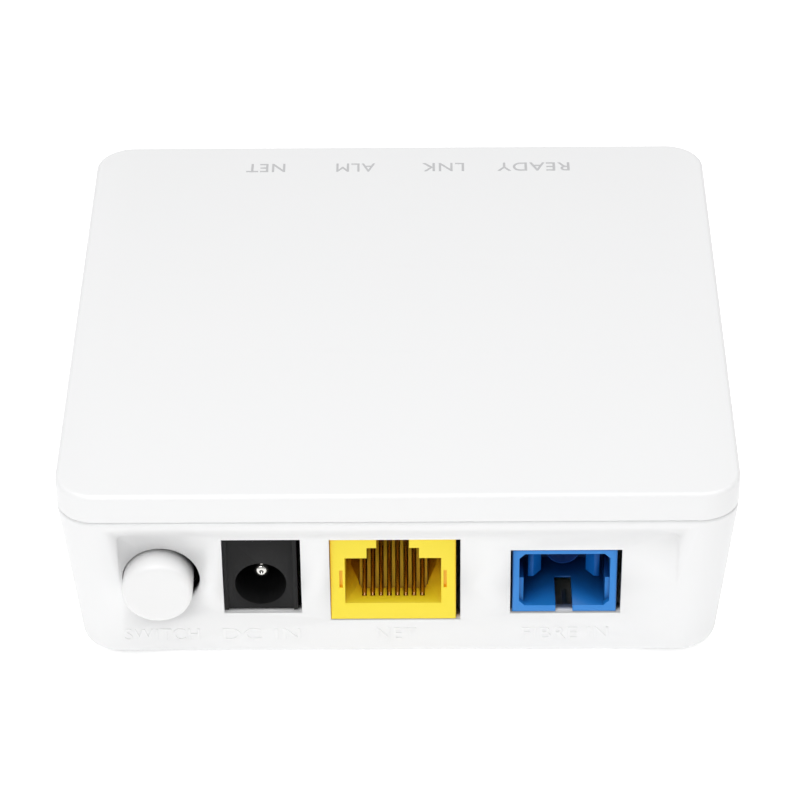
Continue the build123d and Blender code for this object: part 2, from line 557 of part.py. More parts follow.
with BuildPart() as power_socket_housing:
    block(
        POWER_X - POWER_HALF_WIDTH, POWER_X + POWER_HALF_WIDTH, FACE_Y, FACE_Y + 3.2,
        POWER_LOW_Z, BOARD_Z - CLEAR,
    )
    block(
        POWER_X - POWER_HALF_WIDTH + 0.3, POWER_X + POWER_HALF_WIDTH - 0.3, FACE_Y + 3.2, POWER_BACK_Y,
        POWER_LOW_Z + 0.4, BOARD_Z - 1.2,
    )
    block(POWER_X - 4.2, POWER_X - 2.6, FACE_Y + 3.2, POWER_BACK_Y, BOARD_Z - 1.3, BOARD_Z - CLEAR)
    block(POWER_X + 2.2, POWER_X + 2.9, FACE_Y + 3.2, POWER_BACK_Y, BOARD_Z - 1.3, BOARD_Z - CLEAR)
    # The face stands back a little between two thin upright ribs at its edges
    rib_x = POWER_HALF_WIDTH - 0.5
    block(
        POWER_X - rib_x, POWER_X + rib_x, FACE_Y, FACE_Y + 0.3, POWER_LOW_Z, BOARD_Z, mode=Mode.SUBTRACT
    )
    barrel(POWER_X, POWER_Z, FACE_Y, FACE_Y + POWER_DEPTH, POWER_BORE, mode=Mode.SUBTRACT)
    # Room over the bore for the leaf contact, open at its tip so that the leaf can lift
    block(
        POWER_X - 1.35, POWER_X + 1.35, LEAF_TIP_Y - 0.5, LEAF_ROOT_Y + 0.8,
        POWER_Z + 2.0, LEAF_Z + 1.3, mode=Mode.SUBTRACT,
    )
    # Bores for the centre pin's rear end and for the three terminals
    barrel(POWER_X, POWER_Z, FACE_Y + POWER_DEPTH, POWER_BACK_Y, 1.0 + CLEAR, mode=Mode.SUBTRACT)
    for x, y in POWER_PINS[1:]:
        rod(x, y, LEAF_Z, BOARD_Z, PIN_RADIUS + CLEAR, mode=Mode.SUBTRACT)
    rod(*POWER_PINS[0], POWER_Z, BOARD_Z, PIN_RADIUS + CLEAR, mode=Mode.SUBTRACT)

with BuildPart() as power_centre_pin:
    barrel(POWER_X, POWER_Z, PIN_START_Y, POWER_BACK_Y - 0.2, 1.0)
    fillet(power_centre_pin.edges().sort_by(Axis.Y)[0], 0.65)
    barrel(POWER_X, POWER_Z, PIN_START_Y, PIN_START_Y + 0.5, 0.2, mode=Mode.SUBTRACT)
    rod(*POWER_PINS[0], POWER_Z, PIN_TIP_Z, PIN_RADIUS)

with BuildPart() as power_leaf_contact:
    # A bent strip: fixed at its back end, dipping into the bore where it presses on the plug
    with BuildSketch(Plane.YZ.offset(POWER_X - 1.1)):
        with BuildLine():
            outline = Polyline(
                (LEAF_ROOT_Y, LEAF_Z),
                (LEAF_TIP_Y + 3.4, LEAF_Z - 1.15),
                (LEAF_TIP_Y + 2.2, LEAF_Z - 1.15),
                (LEAF_TIP_Y, LEAF_Z - 0.2),
            )
            offset(outline, amount=0.15, side=Side.BOTH)
        make_face()
    extrude(amount=2.2)

with BuildPart() as power_terminals:
    rod(*POWER_PINS[1], LEAF_Z + 0.3, PIN_TIP_Z, PIN_RADIUS)
    rod(*POWER_PINS[2], LEAF_Z + CLEAR, PIN_TIP_Z, PIN_RADIUS)

# ---------------------------------------------------------------- LAN socket
LAN_HALF_WIDTH = 7.7
LAN_LOW_Z = 6.8
LAN_BACK_Y = FACE_Y + 16.0
MOUTH_HALF_WIDTH = 5.9
MOUTH_Z = (9.38, 16.38)
KEY_STEPS = [(3.2, 17.95), (2.0, 19.6)]  # half width and top of each step over the mouth
MOUTH_BACK_Y = FACE_Y + 12.6
CONTACT_RADIUS = 0.16
BEND_Y, BEND_Z = FACE_Y + 2.3, 8.85  # centre of the wires' front bend, and the axis they flex about
BEND_RADIUS = 0.6
RAIL_Z = BEND_Z - BEND_RADIUS
CONTACT_SLOPE = 27.0
CONTACT_LENGTH = 8.4
SLOT_HALF_WIDTH = 0.3  # the wires' slots in the floor and in the comb
FLOOR_SLOTS_Y = (BEND_Y - 0.85, FACE_Y + 3.0)
FLARE_Z = 8.0  # bottom of the floor's flared recess
FLARE_FRONT, FLARE_BACK = 3.95, 5.3  # its half width at the front and at the back
FLARE_LENGTH = 4.7  # how far it takes to widen
MARK_OFFSET, MARK_HALF_WIDTH, MARK_DEPTH, MARK_Z = 0.48, 0.2, 0.4, (11.8, 14.5)
LAN_OPEN_HALF_WIDTH = 6.2  # opening at the back, for the contact block
RAIL_ROOM_HALF_WIDTH = 4.3
COMB_HALF_WIDTH, COMB_TOP_Z = 4.2, 13.4

with BuildPart() as lan_socket_housing:
    block(
        LAN_X - LAN_HALF_WIDTH, LAN_X + LAN_HALF_WIDTH, FACE_Y, LAN_BACK_Y, LAN_LOW_Z, BOARD_Z - CLEAR
    )
    chamfer(lan_socket_housing.faces().sort_by(Axis.Y)[0].edges(), 0.12)
    block(
        LAN_X - MOUTH_HALF_WIDTH, LAN_X + MOUTH_HALF_WIDTH, FACE_Y, MOUTH_BACK_Y, *MOUTH_Z,
        mode=Mode.SUBTRACT,
    )
    for half_width, top_z in KEY_STEPS:
        block(
            LAN_X - half_width, LAN_X + half_width, FACE_Y, MOUTH_BACK_Y, MOUTH_Z[1], top_z,
            mode=Mode.SUBTRACT,
        )
    for side in (-1, 1):  # shallow moulding marks beside the mouth
        x = LAN_X + side * (MOUTH_HALF_WIDTH + MARK_OFFSET)
        block(
            x - MARK_HALF_WIDTH, x + MARK_HALF_WIDTH, FACE_Y, FACE_Y + MARK_DEPTH, *MARK_Z,
            mode=Mode.SUBTRACT,
        )
    # The floor has one slot per wire bend, then a flared recess that widens towards the back
    for x in LAN_COLUMNS:
        block(
            x - SLOT_HALF_WIDTH, x + SLOT_HALF_WIDTH, FLOOR_SLOTS_Y[0], FLOOR_SLOTS_Y[1] + 1,
            LAN_LOW_Z, MOUTH_Z[0], mode=Mode.SUBTRACT,
        )
    flare_y = (FLOOR_SLOTS_Y[1], FLOOR_SLOTS_Y[1] + FLARE_LENGTH)
    with BuildSketch(Plane.XY.offset(FLARE_Z)):
        with BuildLine():
            Polyline(
                (LAN_X - FLARE_FRONT, flare_y[0]),
                (LAN_X + FLARE_FRONT, flare_y[0]),
                (LAN_X + FLARE_BACK, flare_y[1]),
                (LAN_X + FLARE_BACK, MOUTH_BACK_Y),
                (LAN_X - FLARE_BACK, MOUTH_BACK_Y),
                (LAN_X - FLARE_BACK, flare_y[1]),
                close=True,
            )
        make_face()
    extrude(amount=MOUTH_Z[0] - FLARE_Z, mode=Mode.SUBTRACT)
    # The contact block slides in from behind; the rail room under the floor is open downwards
    block(
        LAN_X - LAN_OPEN_HALF_WIDTH, LAN_X + LAN_OPEN_HALF_WIDTH, MOUTH_BACK_Y, LAN_BACK_Y,
        LAN_LOW_Z, BOARD_Z, mode=Mode.SUBTRACT,
    )
    block(
        LAN_X - RAIL_ROOM_HALF_WIDTH, LAN_X + RAIL_ROOM_HALF_WIDTH, FLOOR_SLOTS_Y[1] + 0.7, MOUTH_BACK_Y,
        LAN_LOW_Z, MOUTH_Z[0], mode=Mode.SUBTRACT,
    )
    for x, y in LAN_PEGS:
        rod(x, y, BOARD_Z - 0.5, BOARD_TOP_Z - 0.2, PEG_RADIUS)

with BuildPart() as lan_contact_block:
    # Rear wall, floor under the rails, and a sloping comb whose walls keep the eight wires apart
    wall_half_width = LAN_OPEN_HALF_WIDTH - 0.1
    block(
        LAN_X - wall_half_width, LAN_X + wall_half_width, MOUTH_BACK_Y + CLEAR, LAN_BACK_Y,
        LAN_LOW_Z + 0.1, BOARD_Z - 0.2,
    )
    block(
        LAN_X - COMB_HALF_WIDTH, LAN_X + COMB_HALF_WIDTH, FACE_Y + 3.8, MOUTH_BACK_Y + 0.2,
        LAN_LOW_Z + 0.1, RAIL_Z - 0.3,
    )
    with BuildSketch(Plane.YZ.offset(LAN_X - COMB_HALF_WIDTH)):
        with BuildLine():
            Polyline(
                (BEND_Y + 1.6, RAIL_Z + 0.3),
                (MOUTH_BACK_Y + 0.2, RAIL_Z + 0.3),
                (MOUTH_BACK_Y + 0.2, COMB_TOP_Z),
                (MOUTH_BACK_Y - 2.6, COMB_TOP_Z),
                close=True,
            )
        make_face()
    extrude(amount=2 * COMB_HALF_WIDTH)
    for x in LAN_COLUMNS:  # one slot per wire, deep enough for it to flex down
        block(
            x - SLOT_HALF_WIDTH, x + SLOT_HALF_WIDTH, BEND_Y + 1.0, MOUTH_BACK_Y - 0.2, RAIL_Z - 0.3, 14,
            mode=Mode.SUBTRACT,
        )
    for x, y in LAN_PINS:
        block(
            x - SLOT_HALF_WIDTH, x + SLOT_HALF_WIDTH, MOUTH_BACK_Y - 0.3, y + PIN_RADIUS + CLEAR,
            RAIL_Z - 0.3, RAIL_Z + 0.3, mode=Mode.SUBTRACT,
        )
        rod(x, y, RAIL_Z - 0.3, BOARD_Z, PIN_RADIUS + CLEAR, mode=Mode.SUBTRACT)

with BuildPart() as lan_contacts:
    # The springy part of each wire: round the front bend, then up and back over its slot
    slope = radians(CONTACT_SLOPE)
    for x in LAN_COLUMNS:
        with BuildLine(Plane.YZ.offset(x)):
            bend = CenterArc((BEND_Y, BEND_Z), BEND_RADIUS, 270, -(180 - CONTACT_SLOPE))
            Line(
                bend @ 1,
                (
                    BEND_Y - BEND_RADIUS * sin(slope) + CONTACT_LENGTH * cos(slope),
                    BEND_Z + BEND_RADIUS * cos(slope) + CONTACT_LENGTH * sin(slope),
                ),
            )
        with BuildSketch(Plane(origin=bend @ 0, z_dir=bend % 0)):
            Circle(CONTACT_RADIUS)
        sweep()

with BuildPart() as lan_contact_rails:
    # The fixed part: under the floor to the back, then up through the board
    for (x, y), column in zip(LAN_PINS, LAN_COLUMNS):
        block(
            column - CONTACT_RADIUS, column + CONTACT_RADIUS, BEND_Y + 0.1, y,
            RAIL_Z - CONTACT_RADIUS, RAIL_Z + CONTACT_RADIUS,
        )
        rod(x, y, RAIL_Z - CONTACT_RADIUS, PIN_TIP_Z, PIN_RADIUS - 0.1)

# ---------------------------------------------------------------- optical socket
OPTICAL_HALF_WIDTH = 6.4
OPTICAL_SPAN_Z = (7.87, 17.55)
OPTICAL_BACK_Y = FACE_Y + 11.5
ROOM_HALF_WIDTH, ROOM_HALF_HEIGHT = 5.55, 4.0  # plug room inside the mouth
MOUTH_DEPTH = 0.8  # the mouth's chamfered corners end here and the side rails begin
MOUTH_CORNER = 0.7
RAIL_WIDTH, RAIL_TOP_Z = 0.55, 12.65  # rails along the lower half of both side walls
ROOM_BACK_Y = FACE_Y + 9.6
KEYWAY_HALF_WIDTH = 1.05
KEYWAY_LENGTH = 5.8
SLEEVE_FRONT_Y = FACE_Y + 5.8
FERRULE_RADIUS = 1.25
ARM_ROOT_Y, ARM_TIP_Y = ROOM_BACK_Y - 0.1, FACE_Y + 2.9
ARM_INNER = 3.4
ARM_THICKNESS = 1.0
ARM_HALF_HEIGHT = 1.75
HOOK_REACH = 0.65  # how far the arm's hook stands in
HOLDER_RADIUS, HOLDER_BORE = 2.1, 1.65
HOLDER_MOUTH_RADIUS, HOLDER_MOUTH_DEPTH = 1.87, 1.6
HOLDER_FLANGE_RADIUS = 3.6

with BuildPart() as optical_socket_housing:
    block(
        OPTICAL_X - OPTICAL_HALF_WIDTH, OPTICAL_X + OPTICAL_HALF_WIDTH, FACE_Y, OPTICAL_BACK_Y,
        *OPTICAL_SPAN_Z,
    )
    chamfer(optical_socket_housing.faces().sort_by(Axis.Y)[0].edges(), 0.12)
    for half_width, low_z in (
        (ROOM_HALF_WIDTH, RAIL_TOP_Z),
        (ROOM_HALF_WIDTH - RAIL_WIDTH, OPTICAL_Z - ROOM_HALF_HEIGHT),
    ):
        block(
            OPTICAL_X - half_width, OPTICAL_X + half_width, FACE_Y + MOUTH_DEPTH, ROOM_BACK_Y,
            low_z, OPTICAL_Z + ROOM_HALF_HEIGHT, mode=Mode.SUBTRACT,
        )
    # The mouth in front of the rails is the full room with its four corners chamfered
    with BuildSketch(Plane.XZ.offset(-FACE_Y)) as optical_mouth:
        with Locations((OPTICAL_X, OPTICAL_Z)):
            Rectangle(2 * ROOM_HALF_WIDTH, 2 * ROOM_HALF_HEIGHT)
        chamfer(optical_mouth.vertices(), MOUTH_CORNER)
    extrude(amount=-MOUTH_DEPTH, mode=Mode.SUBTRACT)
    # Keyway through the lower wall, undercut at its far end, and the hole for the sleeve holder
    block(
        OPTICAL_X - KEYWAY_HALF_WIDTH, OPTICAL_X + KEYWAY_HALF_WIDTH, FACE_Y, FACE_Y + KEYWAY_LENGTH,
        OPTICAL_SPAN_Z[0], OPTICAL_Z, mode=Mode.SUBTRACT,
    )
    block(
        OPTICAL_X - KEYWAY_HALF_WIDTH, OPTICAL_X + KEYWAY_HALF_WIDTH, FACE_Y + KEYWAY_LENGTH,
        ROOM_BACK_Y - 1, OPTICAL_SPAN_Z[0], OPTICAL_Z - ROOM_HALF_HEIGHT - 0.3, mode=Mode.SUBTRACT,
    )
    barrel(OPTICAL_X, OPTICAL_Z, ROOM_BACK_Y, OPTICAL_BACK_Y, HOLDER_RADIUS + CLEAR, mode=Mode.SUBTRACT)
    for x, y in OPTICAL_PEGS:
        rod(x, y, OPTICAL_SPAN_Z[1] - 0.3, BOARD_Z - CLEAR, 1.4)
        rod(x, y, BOARD_Z - 0.1, BOARD_TOP_Z - 0.2, PEG_RADIUS)


with BuildPart() as latch_arm_right:
    # A springy arm beside the sleeve, with a wedge-shaped hook that grips the plug
    inner, outer = OPTICAL_X + ARM_INNER, OPTICAL_X + ARM_INNER + ARM_THICKNESS
    with BuildSketch(Plane.XY.offset(OPTICAL_Z - ARM_HALF_HEIGHT)):
        with BuildLine():
            Polyline(
                (inner, ARM_ROOT_Y),
                (inner, ARM_TIP_Y + 1.9),
                (inner - HOOK_REACH, ARM_TIP_Y + 1.3),
                (inner + 0.35, ARM_TIP_Y),
                (outer, ARM_TIP_Y),
                (outer, ARM_ROOT_Y),
                close=True,
            )
        make_face()
    extrude(amount=2 * ARM_HALF_HEIGHT)

with BuildPart() as latch_arm_left:
    mirror(latch_arm_right.part, about=Plane.YZ.offset(OPTICAL_X))

with BuildPart() as sleeve_holder:
    holder_back_y = OPTICAL_BACK_Y + 1.5
    barrel(OPTICAL_X, OPTICAL_Z, SLEEVE_FRONT_Y, holder_back_y, HOLDER_RADIUS)
    barrel(OPTICAL_X, OPTICAL_Z, OPTICAL_BACK_Y + CLEAR, holder_back_y, HOLDER_FLANGE_RADIUS)
    fillet(sleeve_holder.edges().sort_by(Axis.Y)[0], 0.2)
    barrel(OPTICAL_X, OPTICAL_Z, SLEEVE_FRONT_Y, holder_back_y, HOLDER_BORE, mode=Mode.SUBTRACT)
    barrel(
        OPTICAL_X, OPTICAL_Z, SLEEVE_FRONT_Y, SLEEVE_FRONT_Y + HOLDER_MOUTH_DEPTH,
        HOLDER_MOUTH_RADIUS, mode=Mode.SUBTRACT,
    )

with BuildPart() as split_sleeve:
    sleeve_y = (SLEEVE_FRONT_Y + 2.0, OPTICAL_BACK_Y + 1.0)
    barrel(OPTICAL_X, OPTICAL_Z, *sleeve_y, FERRULE_RADIUS + 0.35)
    barrel(OPTICAL_X, OPTICAL_Z, *sleeve_y, FERRULE_RADIUS, mode=Mode.SUBTRACT)
    block(
        OPTICAL_X - 0.2, OPTICAL_X + 0.2, *sleeve_y, OPTICAL_Z, OPTICAL_Z + 2, mode=Mode.SUBTRACT
    )

BLOCK_BACK_Y = -16.6
BLOCK_HALF_WIDTH = 3.6
LEAD_RADIUS = 0.22
with BuildPart() as fibre_stub:
    barrel(OPTICAL_X, OPTICAL_Z, OPTICAL_BACK_Y - 1.8, OPTICAL_BACK_Y + 1.4, FERRULE_RADIUS - 0.02)
    fillet(fibre_stub.edges().sort_by(Axis.Y)[0], 0.2)

with BuildPart() as transceiver_block:
    block(
        OPTICAL_X - BLOCK_HALF_WIDTH, OPTICAL_X + BLOCK_HALF_WIDTH,
        OPTICAL_BACK_Y + 1.5 + CLEAR, BLOCK_BACK_Y,
        OPTICAL_Z - 3.4, OPTICAL_Z + 3.4,
    )
    fillet(transceiver_block.edges().filter_by(Axis.Y), 0.8)
    barrel(OPTICAL_X, OPTICAL_Z, OPTICAL_BACK_Y, BLOCK_BACK_Y, 0.8, mode=Mode.SUBTRACT)

with BuildPart() as laser_can:
    barrel(OPTICAL_X, OPTICAL_Z, BLOCK_BACK_Y + CLEAR, BLOCK_BACK_Y + 2.6, 2.35)
    barrel(OPTICAL_X, OPTICAL_Z, BLOCK_BACK_Y + 2.6, BLOCK_BACK_Y + 3.8, 2.8)

with BuildPart() as photodiode_can:
    for x0, x1, radius in (
        (OPTICAL_X + BLOCK_HALF_WIDTH + CLEAR, DIODE_BACK_X - 1.0, 2.0),
        (DIODE_BACK_X - 1.0, DIODE_BACK_X, 2.5),
    ):
        with Locations(Location(((x0 + x1) / 2, DIODE_Y, OPTICAL_Z), (0, 90, 0))):
            Cylinder(radius, x1 - x0)

with BuildPart() as transceiver_leads:
    for x, y in LASER_PINS:
        barrel(x, OPTICAL_Z, BLOCK_BACK_Y + 3.8 + CLEAR, y, LEAD_RADIUS)
        rod(x, y, OPTICAL_Z - 0.3, PIN_TIP_Z, LEAD_RADIUS + 0.04)
    for x, y in DIODE_PINS:
        with Locations(Location(((DIODE_BACK_X + CLEAR + x) / 2, y, OPTICAL_Z), (0, 90, 0))):
            Cylinder(LEAD_RADIUS, x - DIODE_BACK_X - CLEAR)
        rod(x, y, OPTICAL_Z - 0.3, PIN_TIP_Z, LEAD_RADIUS + 0.04)

# ---------------------------------------------------------------- write one STEP per piece
PIECES = {
    "bottom_case": bottom_case,
    "top_cover": top_cover,
    "light_guide": light_guide,
    "rubber_feet": rubber_feet,
    "blank_label": blank_label,
    "case_screws": case_screws,
    "board_screws": board_screws,
    "circuit_board": circuit_board,
    "main_chip": main_chip,
    "main_chip_balls": main_chip_balls,
    "thermal_pad": thermal_pad,
    "heat_sink": heat_sink,
    "memory_chip": memory_chip,
    "flash_chip": flash_chip,
    "driver_chip": driver_chip,
    "regulator_chips": regulator_chips,
    "chip_leads": chip_leads,
    "lan_transformer": lan_transformer,
    "transformer_leads": transformer_leads,
    "crystal": crystal,
    "power_inductors": power_inductors,
    "capacitor_cans": capacitor_cans,
    "capacitor_bases": capacitor_bases,
    "smd_capacitors": smd_capacitors,
    "smd_resistors": smd_resistors,
    "indicator_lights": indicator_lights,
    "switch_housing": switch_housing,
    "switch_terminals": switch_terminals,
    "switch_slider": switch_slider,
    "switch_wipers": switch_wipers,
    "switch_latch_wire": switch_latch_wire,
    "switch_spring": switch_spring,
    "button_cap": button_cap,
    "power_socket_housing": power_socket_housing,
    "power_centre_pin": power_centre_pin,
    "power_leaf_contact": power_leaf_contact,
    "power_terminals": power_terminals,
    "lan_socket_housing": lan_socket_housing,
    "lan_contact_block": lan_contact_block,
    "lan_contacts": lan_contacts,
    "lan_contact_rails": lan_contact_rails,
    "optical_socket_housing": optical_socket_housing,
    "latch_arm_left": latch_arm_left,
    "latch_arm_right": latch_arm_right,
    "sleeve_holder": sleeve_holder,
    "split_sleeve": split_sleeve,
    "fibre_stub": fibre_stub,
    "transceiver_block": transceiver_block,
    "laser_can": laser_can,
    "photodiode_can": photodiode_can,
    "transceiver_leads": transceiver_leads,
}

# The origin moves to the middle of the whole depth, from the button's front to the cover's far edge
ORIGIN_Y = (CAP_FRONT_Y + CASE_DEPTH / 2) / 2

os.makedirs("parts", exist_ok=True)
for name, piece in PIECES.items():
    piece.part.label = name
    piece.part.location = Location((0, -ORIGIN_Y, 0))
    export_step(piece.part, f"parts/{name}.step")
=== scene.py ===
"""Looks, lights and camera for the optical network terminal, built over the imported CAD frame."""

import json
import math
import random

import bmesh
import bpy
from mathutils import Matrix, Vector


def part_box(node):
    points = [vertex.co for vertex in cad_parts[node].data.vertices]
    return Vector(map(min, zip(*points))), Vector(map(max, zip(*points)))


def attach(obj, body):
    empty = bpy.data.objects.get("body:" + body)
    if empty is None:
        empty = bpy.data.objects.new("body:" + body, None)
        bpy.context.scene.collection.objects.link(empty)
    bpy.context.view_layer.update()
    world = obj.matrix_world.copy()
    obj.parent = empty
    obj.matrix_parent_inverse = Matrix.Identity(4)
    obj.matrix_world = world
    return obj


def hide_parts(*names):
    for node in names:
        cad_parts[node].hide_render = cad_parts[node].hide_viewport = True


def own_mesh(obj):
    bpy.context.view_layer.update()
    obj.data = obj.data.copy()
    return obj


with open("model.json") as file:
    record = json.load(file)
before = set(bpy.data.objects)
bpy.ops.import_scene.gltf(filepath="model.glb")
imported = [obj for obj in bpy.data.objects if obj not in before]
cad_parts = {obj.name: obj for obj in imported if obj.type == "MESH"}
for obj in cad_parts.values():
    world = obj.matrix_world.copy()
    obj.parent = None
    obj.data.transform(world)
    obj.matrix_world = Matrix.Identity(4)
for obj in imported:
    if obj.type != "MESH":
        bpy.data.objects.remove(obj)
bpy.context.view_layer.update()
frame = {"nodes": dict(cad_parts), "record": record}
random.seed(7)
MM = 0.001
TAU = 2 * math.pi
WHITE, BLACK = (1, 1, 1), (0, 0, 0)
TRACK_WIDTH, TRACK_LENGTH, TRACK_PITCH = 0.00011, 0.0083, 0.00062  # printed tracks, in metres

# ---------------------------------------------------------------- node material helpers


class Look:
    """One Principled material with helpers that add procedural variation and painted cavity shade to it."""

    def __init__(self, name, rough=0.5, metal=0.0, **inputs):
        self.mat = bpy.data.materials.new(name)
        self.mat.use_nodes = True
        self.tree = self.mat.node_tree
        self.bsdf = self.tree.nodes["Principled BSDF"]
        self.bsdf.inputs["Roughness"].default_value = rough
        self.bsdf.inputs["Metallic"].default_value = metal
        for key, value in inputs.items():
            self.bsdf.inputs[key.replace("_", " ")].default_value = value
        self.coords = self.tree.nodes.new("ShaderNodeTexCoord").outputs["Object"]
        self.normal = None

    def link(self, a, b):
        self.tree.links.new(a, b)

    def mapped(self, scale):
        """Object coordinates stretched by a scale per axis."""
        node = self.tree.nodes.new("ShaderNodeMapping")
        node.inputs["Scale"].default_value = scale
        self.link(self.coords, node.inputs["Vector"])
        return node.outputs["Vector"]

    def noise(self, scale, detail=2.0, stretch=None):
        """Fractal noise in object space."""
        node = self.tree.nodes.new("ShaderNodeTexNoise")
        node.inputs["Scale"].default_value = scale
        node.inputs["Detail"].default_value = detail
        self.link(self.mapped(stretch) if stretch else self.coords, node.inputs["Vector"])
        return node.outputs["Fac"]

    def cells(self, scale):
        """Distance to the centres of scattered cells."""
        node = self.tree.nodes.new("ShaderNodeTexVoronoi")
        node.inputs["Scale"].default_value = scale
        self.link(self.coords, node.inputs["Vector"])
        return node.outputs["Distance"]

    def tracks(self, turn):
        """Thin parallel printed tracks with a step here and there, turned about Z."""
        place = self.tree.nodes.new("ShaderNodeMapping")
        place.inputs["Rotation"].default_value = (0.0, 0.0, turn)
        self.link(self.coords, place.inputs["Vector"])
        node = self.tree.nodes.new("ShaderNodeTexBrick")
        for key, number in (
            ("Scale", 1.0), ("Mortar Size", TRACK_WIDTH), ("Mortar Smooth", 0.1),
            ("Brick Width", TRACK_LENGTH), ("Row Height", TRACK_PITCH),
        ):
            node.inputs[key].default_value = number
        self.link(place.outputs["Vector"], node.inputs["Vector"])
        return node.outputs["Fac"]

    def ramp(self, value, stops, smooth=True):
        """A colour ramp; stops is a list of (position, colour)."""
        node = self.tree.nodes.new("ShaderNodeValToRGB")
        ramp = node.color_ramp
        ramp.interpolation = "EASE" if smooth else "LINEAR"
        while len(ramp.elements) < len(stops):
            ramp.elements.new(0.5)
        for element, (position, colour) in zip(ramp.elements, stops):
            element.position = position
            element.color = (*colour[:3], 1.0)
        self.link(value, node.inputs["Fac"])
        return node.outputs["Color"]

    def span(self, value, low, high, start=0.3, stop=0.7):
        """A value mapped from start..stop to low..high."""
        node = self.tree.nodes.new("ShaderNodeMapRange")
        for key, number in (("From Min", start), ("From Max", stop), ("To Min", low), ("To Max", high)):
            node.inputs[key].default_value = number
        self.link(value, node.inputs["Value"])
        return node.outputs["Result"]

    def blend(self, factor, a, b):
        """Two colours mixed by a factor; each may be a socket or a plain colour."""
        node = self.tree.nodes.new("ShaderNodeMix")
        node.data_type = "RGBA"
        for socket, value in ((node.inputs[0], factor), (node.inputs[6], a), (node.inputs[7], b)):
            if isinstance(value, bpy.types.NodeSocket):
                self.link(value, socket)
            else:
                socket.default_value = value if isinstance(value, float) else (*value[:3], 1.0)
        return node.outputs[2]

    def colour(self, value):
        """Sets the base colour to a socket's value."""
        self.link(value, self.bsdf.inputs["Base Color"])
        self.painted = value

    def paint_cavity_shade(self, colour, reach, start=0.25, stop=0.8):
        """Paints shade into the base colour: draws it towards a darker one inside cavities narrower than
        the reach.
        """
        node = self.tree.nodes.new("ShaderNodeAmbientOcclusion")
        node.samples = 12
        node.inputs["Distance"].default_value = reach
        open_share = self.span(node.outputs["AO"], 0.0, 1.0, start, stop)
        self.colour(self.blend(open_share, colour, self.painted))
        return self

    def tone(self, colour, spread=0.04, scale=55.0, fine=900.0):
        """The base colour with a broad drift and a fine mottle."""
        darker = [c * (1 - spread) for c in colour]
        lighter = [min(1.0, c * (1 + spread)) for c in colour]
        broad = self.ramp(self.noise(scale, 3), [(0.1, darker), (0.9, lighter)], False)
        dimmed = [c * (1 - spread * 0.6) for c in colour]
        speck = self.ramp(self.noise(fine, 2), [(0.2, dimmed), (0.8, colour)], False)
        self.colour(self.blend(0.4, broad, speck))
        return self

    def roughness(self, low, high, scale=120.0, stretch=None):
        """Roughness that drifts between low and high."""
        self.link(self.span(self.noise(scale, 3.0, stretch), low, high), self.bsdf.inputs["Roughness"])
        return self

    def bump(self, value, strength, distance=0.00003):
        """A height added on top of the bumps already set; the distance is in metres."""
        node = self.tree.nodes.new("ShaderNodeBump")
        node.inputs["Strength"].default_value = strength
        node.inputs["Distance"].default_value = distance
        self.link(value, node.inputs["Height"])
        if self.normal is not None:
            self.link(self.normal, node.inputs["Normal"])
        self.normal = node.outputs["Normal"]
        self.link(self.normal, self.bsdf.inputs["Normal"])
        return self


def plastic(
    name, colour, rough=(0.3, 0.4), grain=0.12, grain_scale=2600.0, spread=0.03, cavity_shade=None, **inputs
):
    """Moulded plastic: slight colour drift, uneven sheen, fine grain and painted shade in cavities."""
    look = Look(name, **inputs).tone(colour, spread)
    # The optional darker colour is painted shade, laid into cavities by ambient occlusion
    if cavity_shade:
        look.paint_cavity_shade(*cavity_shade)
    look.roughness(*rough)
    look.bump(look.noise(grain_scale, 2), grain)
    look.bump(look.noise(140.0, 2), grain * 0.5, 0.0001)
    return look.mat


def metal(name, colour, rough=(0.2, 0.35), brushed=None, spread=0.08):
    """Plated or drawn metal, with brush marks along the axis whose stretch is small."""
    look = Look(name, metal=1.0).tone(colour, spread, 220.0, 1500.0)
    look.roughness(*rough, scale=400.0, stretch=brushed)
    look.bump(look.noise(1200.0, 3, brushed), 0.15)
    look.bump(look.cells(700.0), 0.05)
    return look.mat


def speckled(name, colour, other, scale, rough=(0.5, 0.7), grain=0.4):
    """Two-tone speckle for ceramic, ferrite, moulded epoxy and rubber."""
    look = Look(name)
    look.colour(look.ramp(look.noise(scale, 4), [(0.38, colour), (0.62, other)]))
    look.roughness(*rough)
    look.bump(look.noise(scale * 1.5, 4), grain)
    look.bump(look.cells(scale * 0.7), grain * 0.3)
    return look.mat


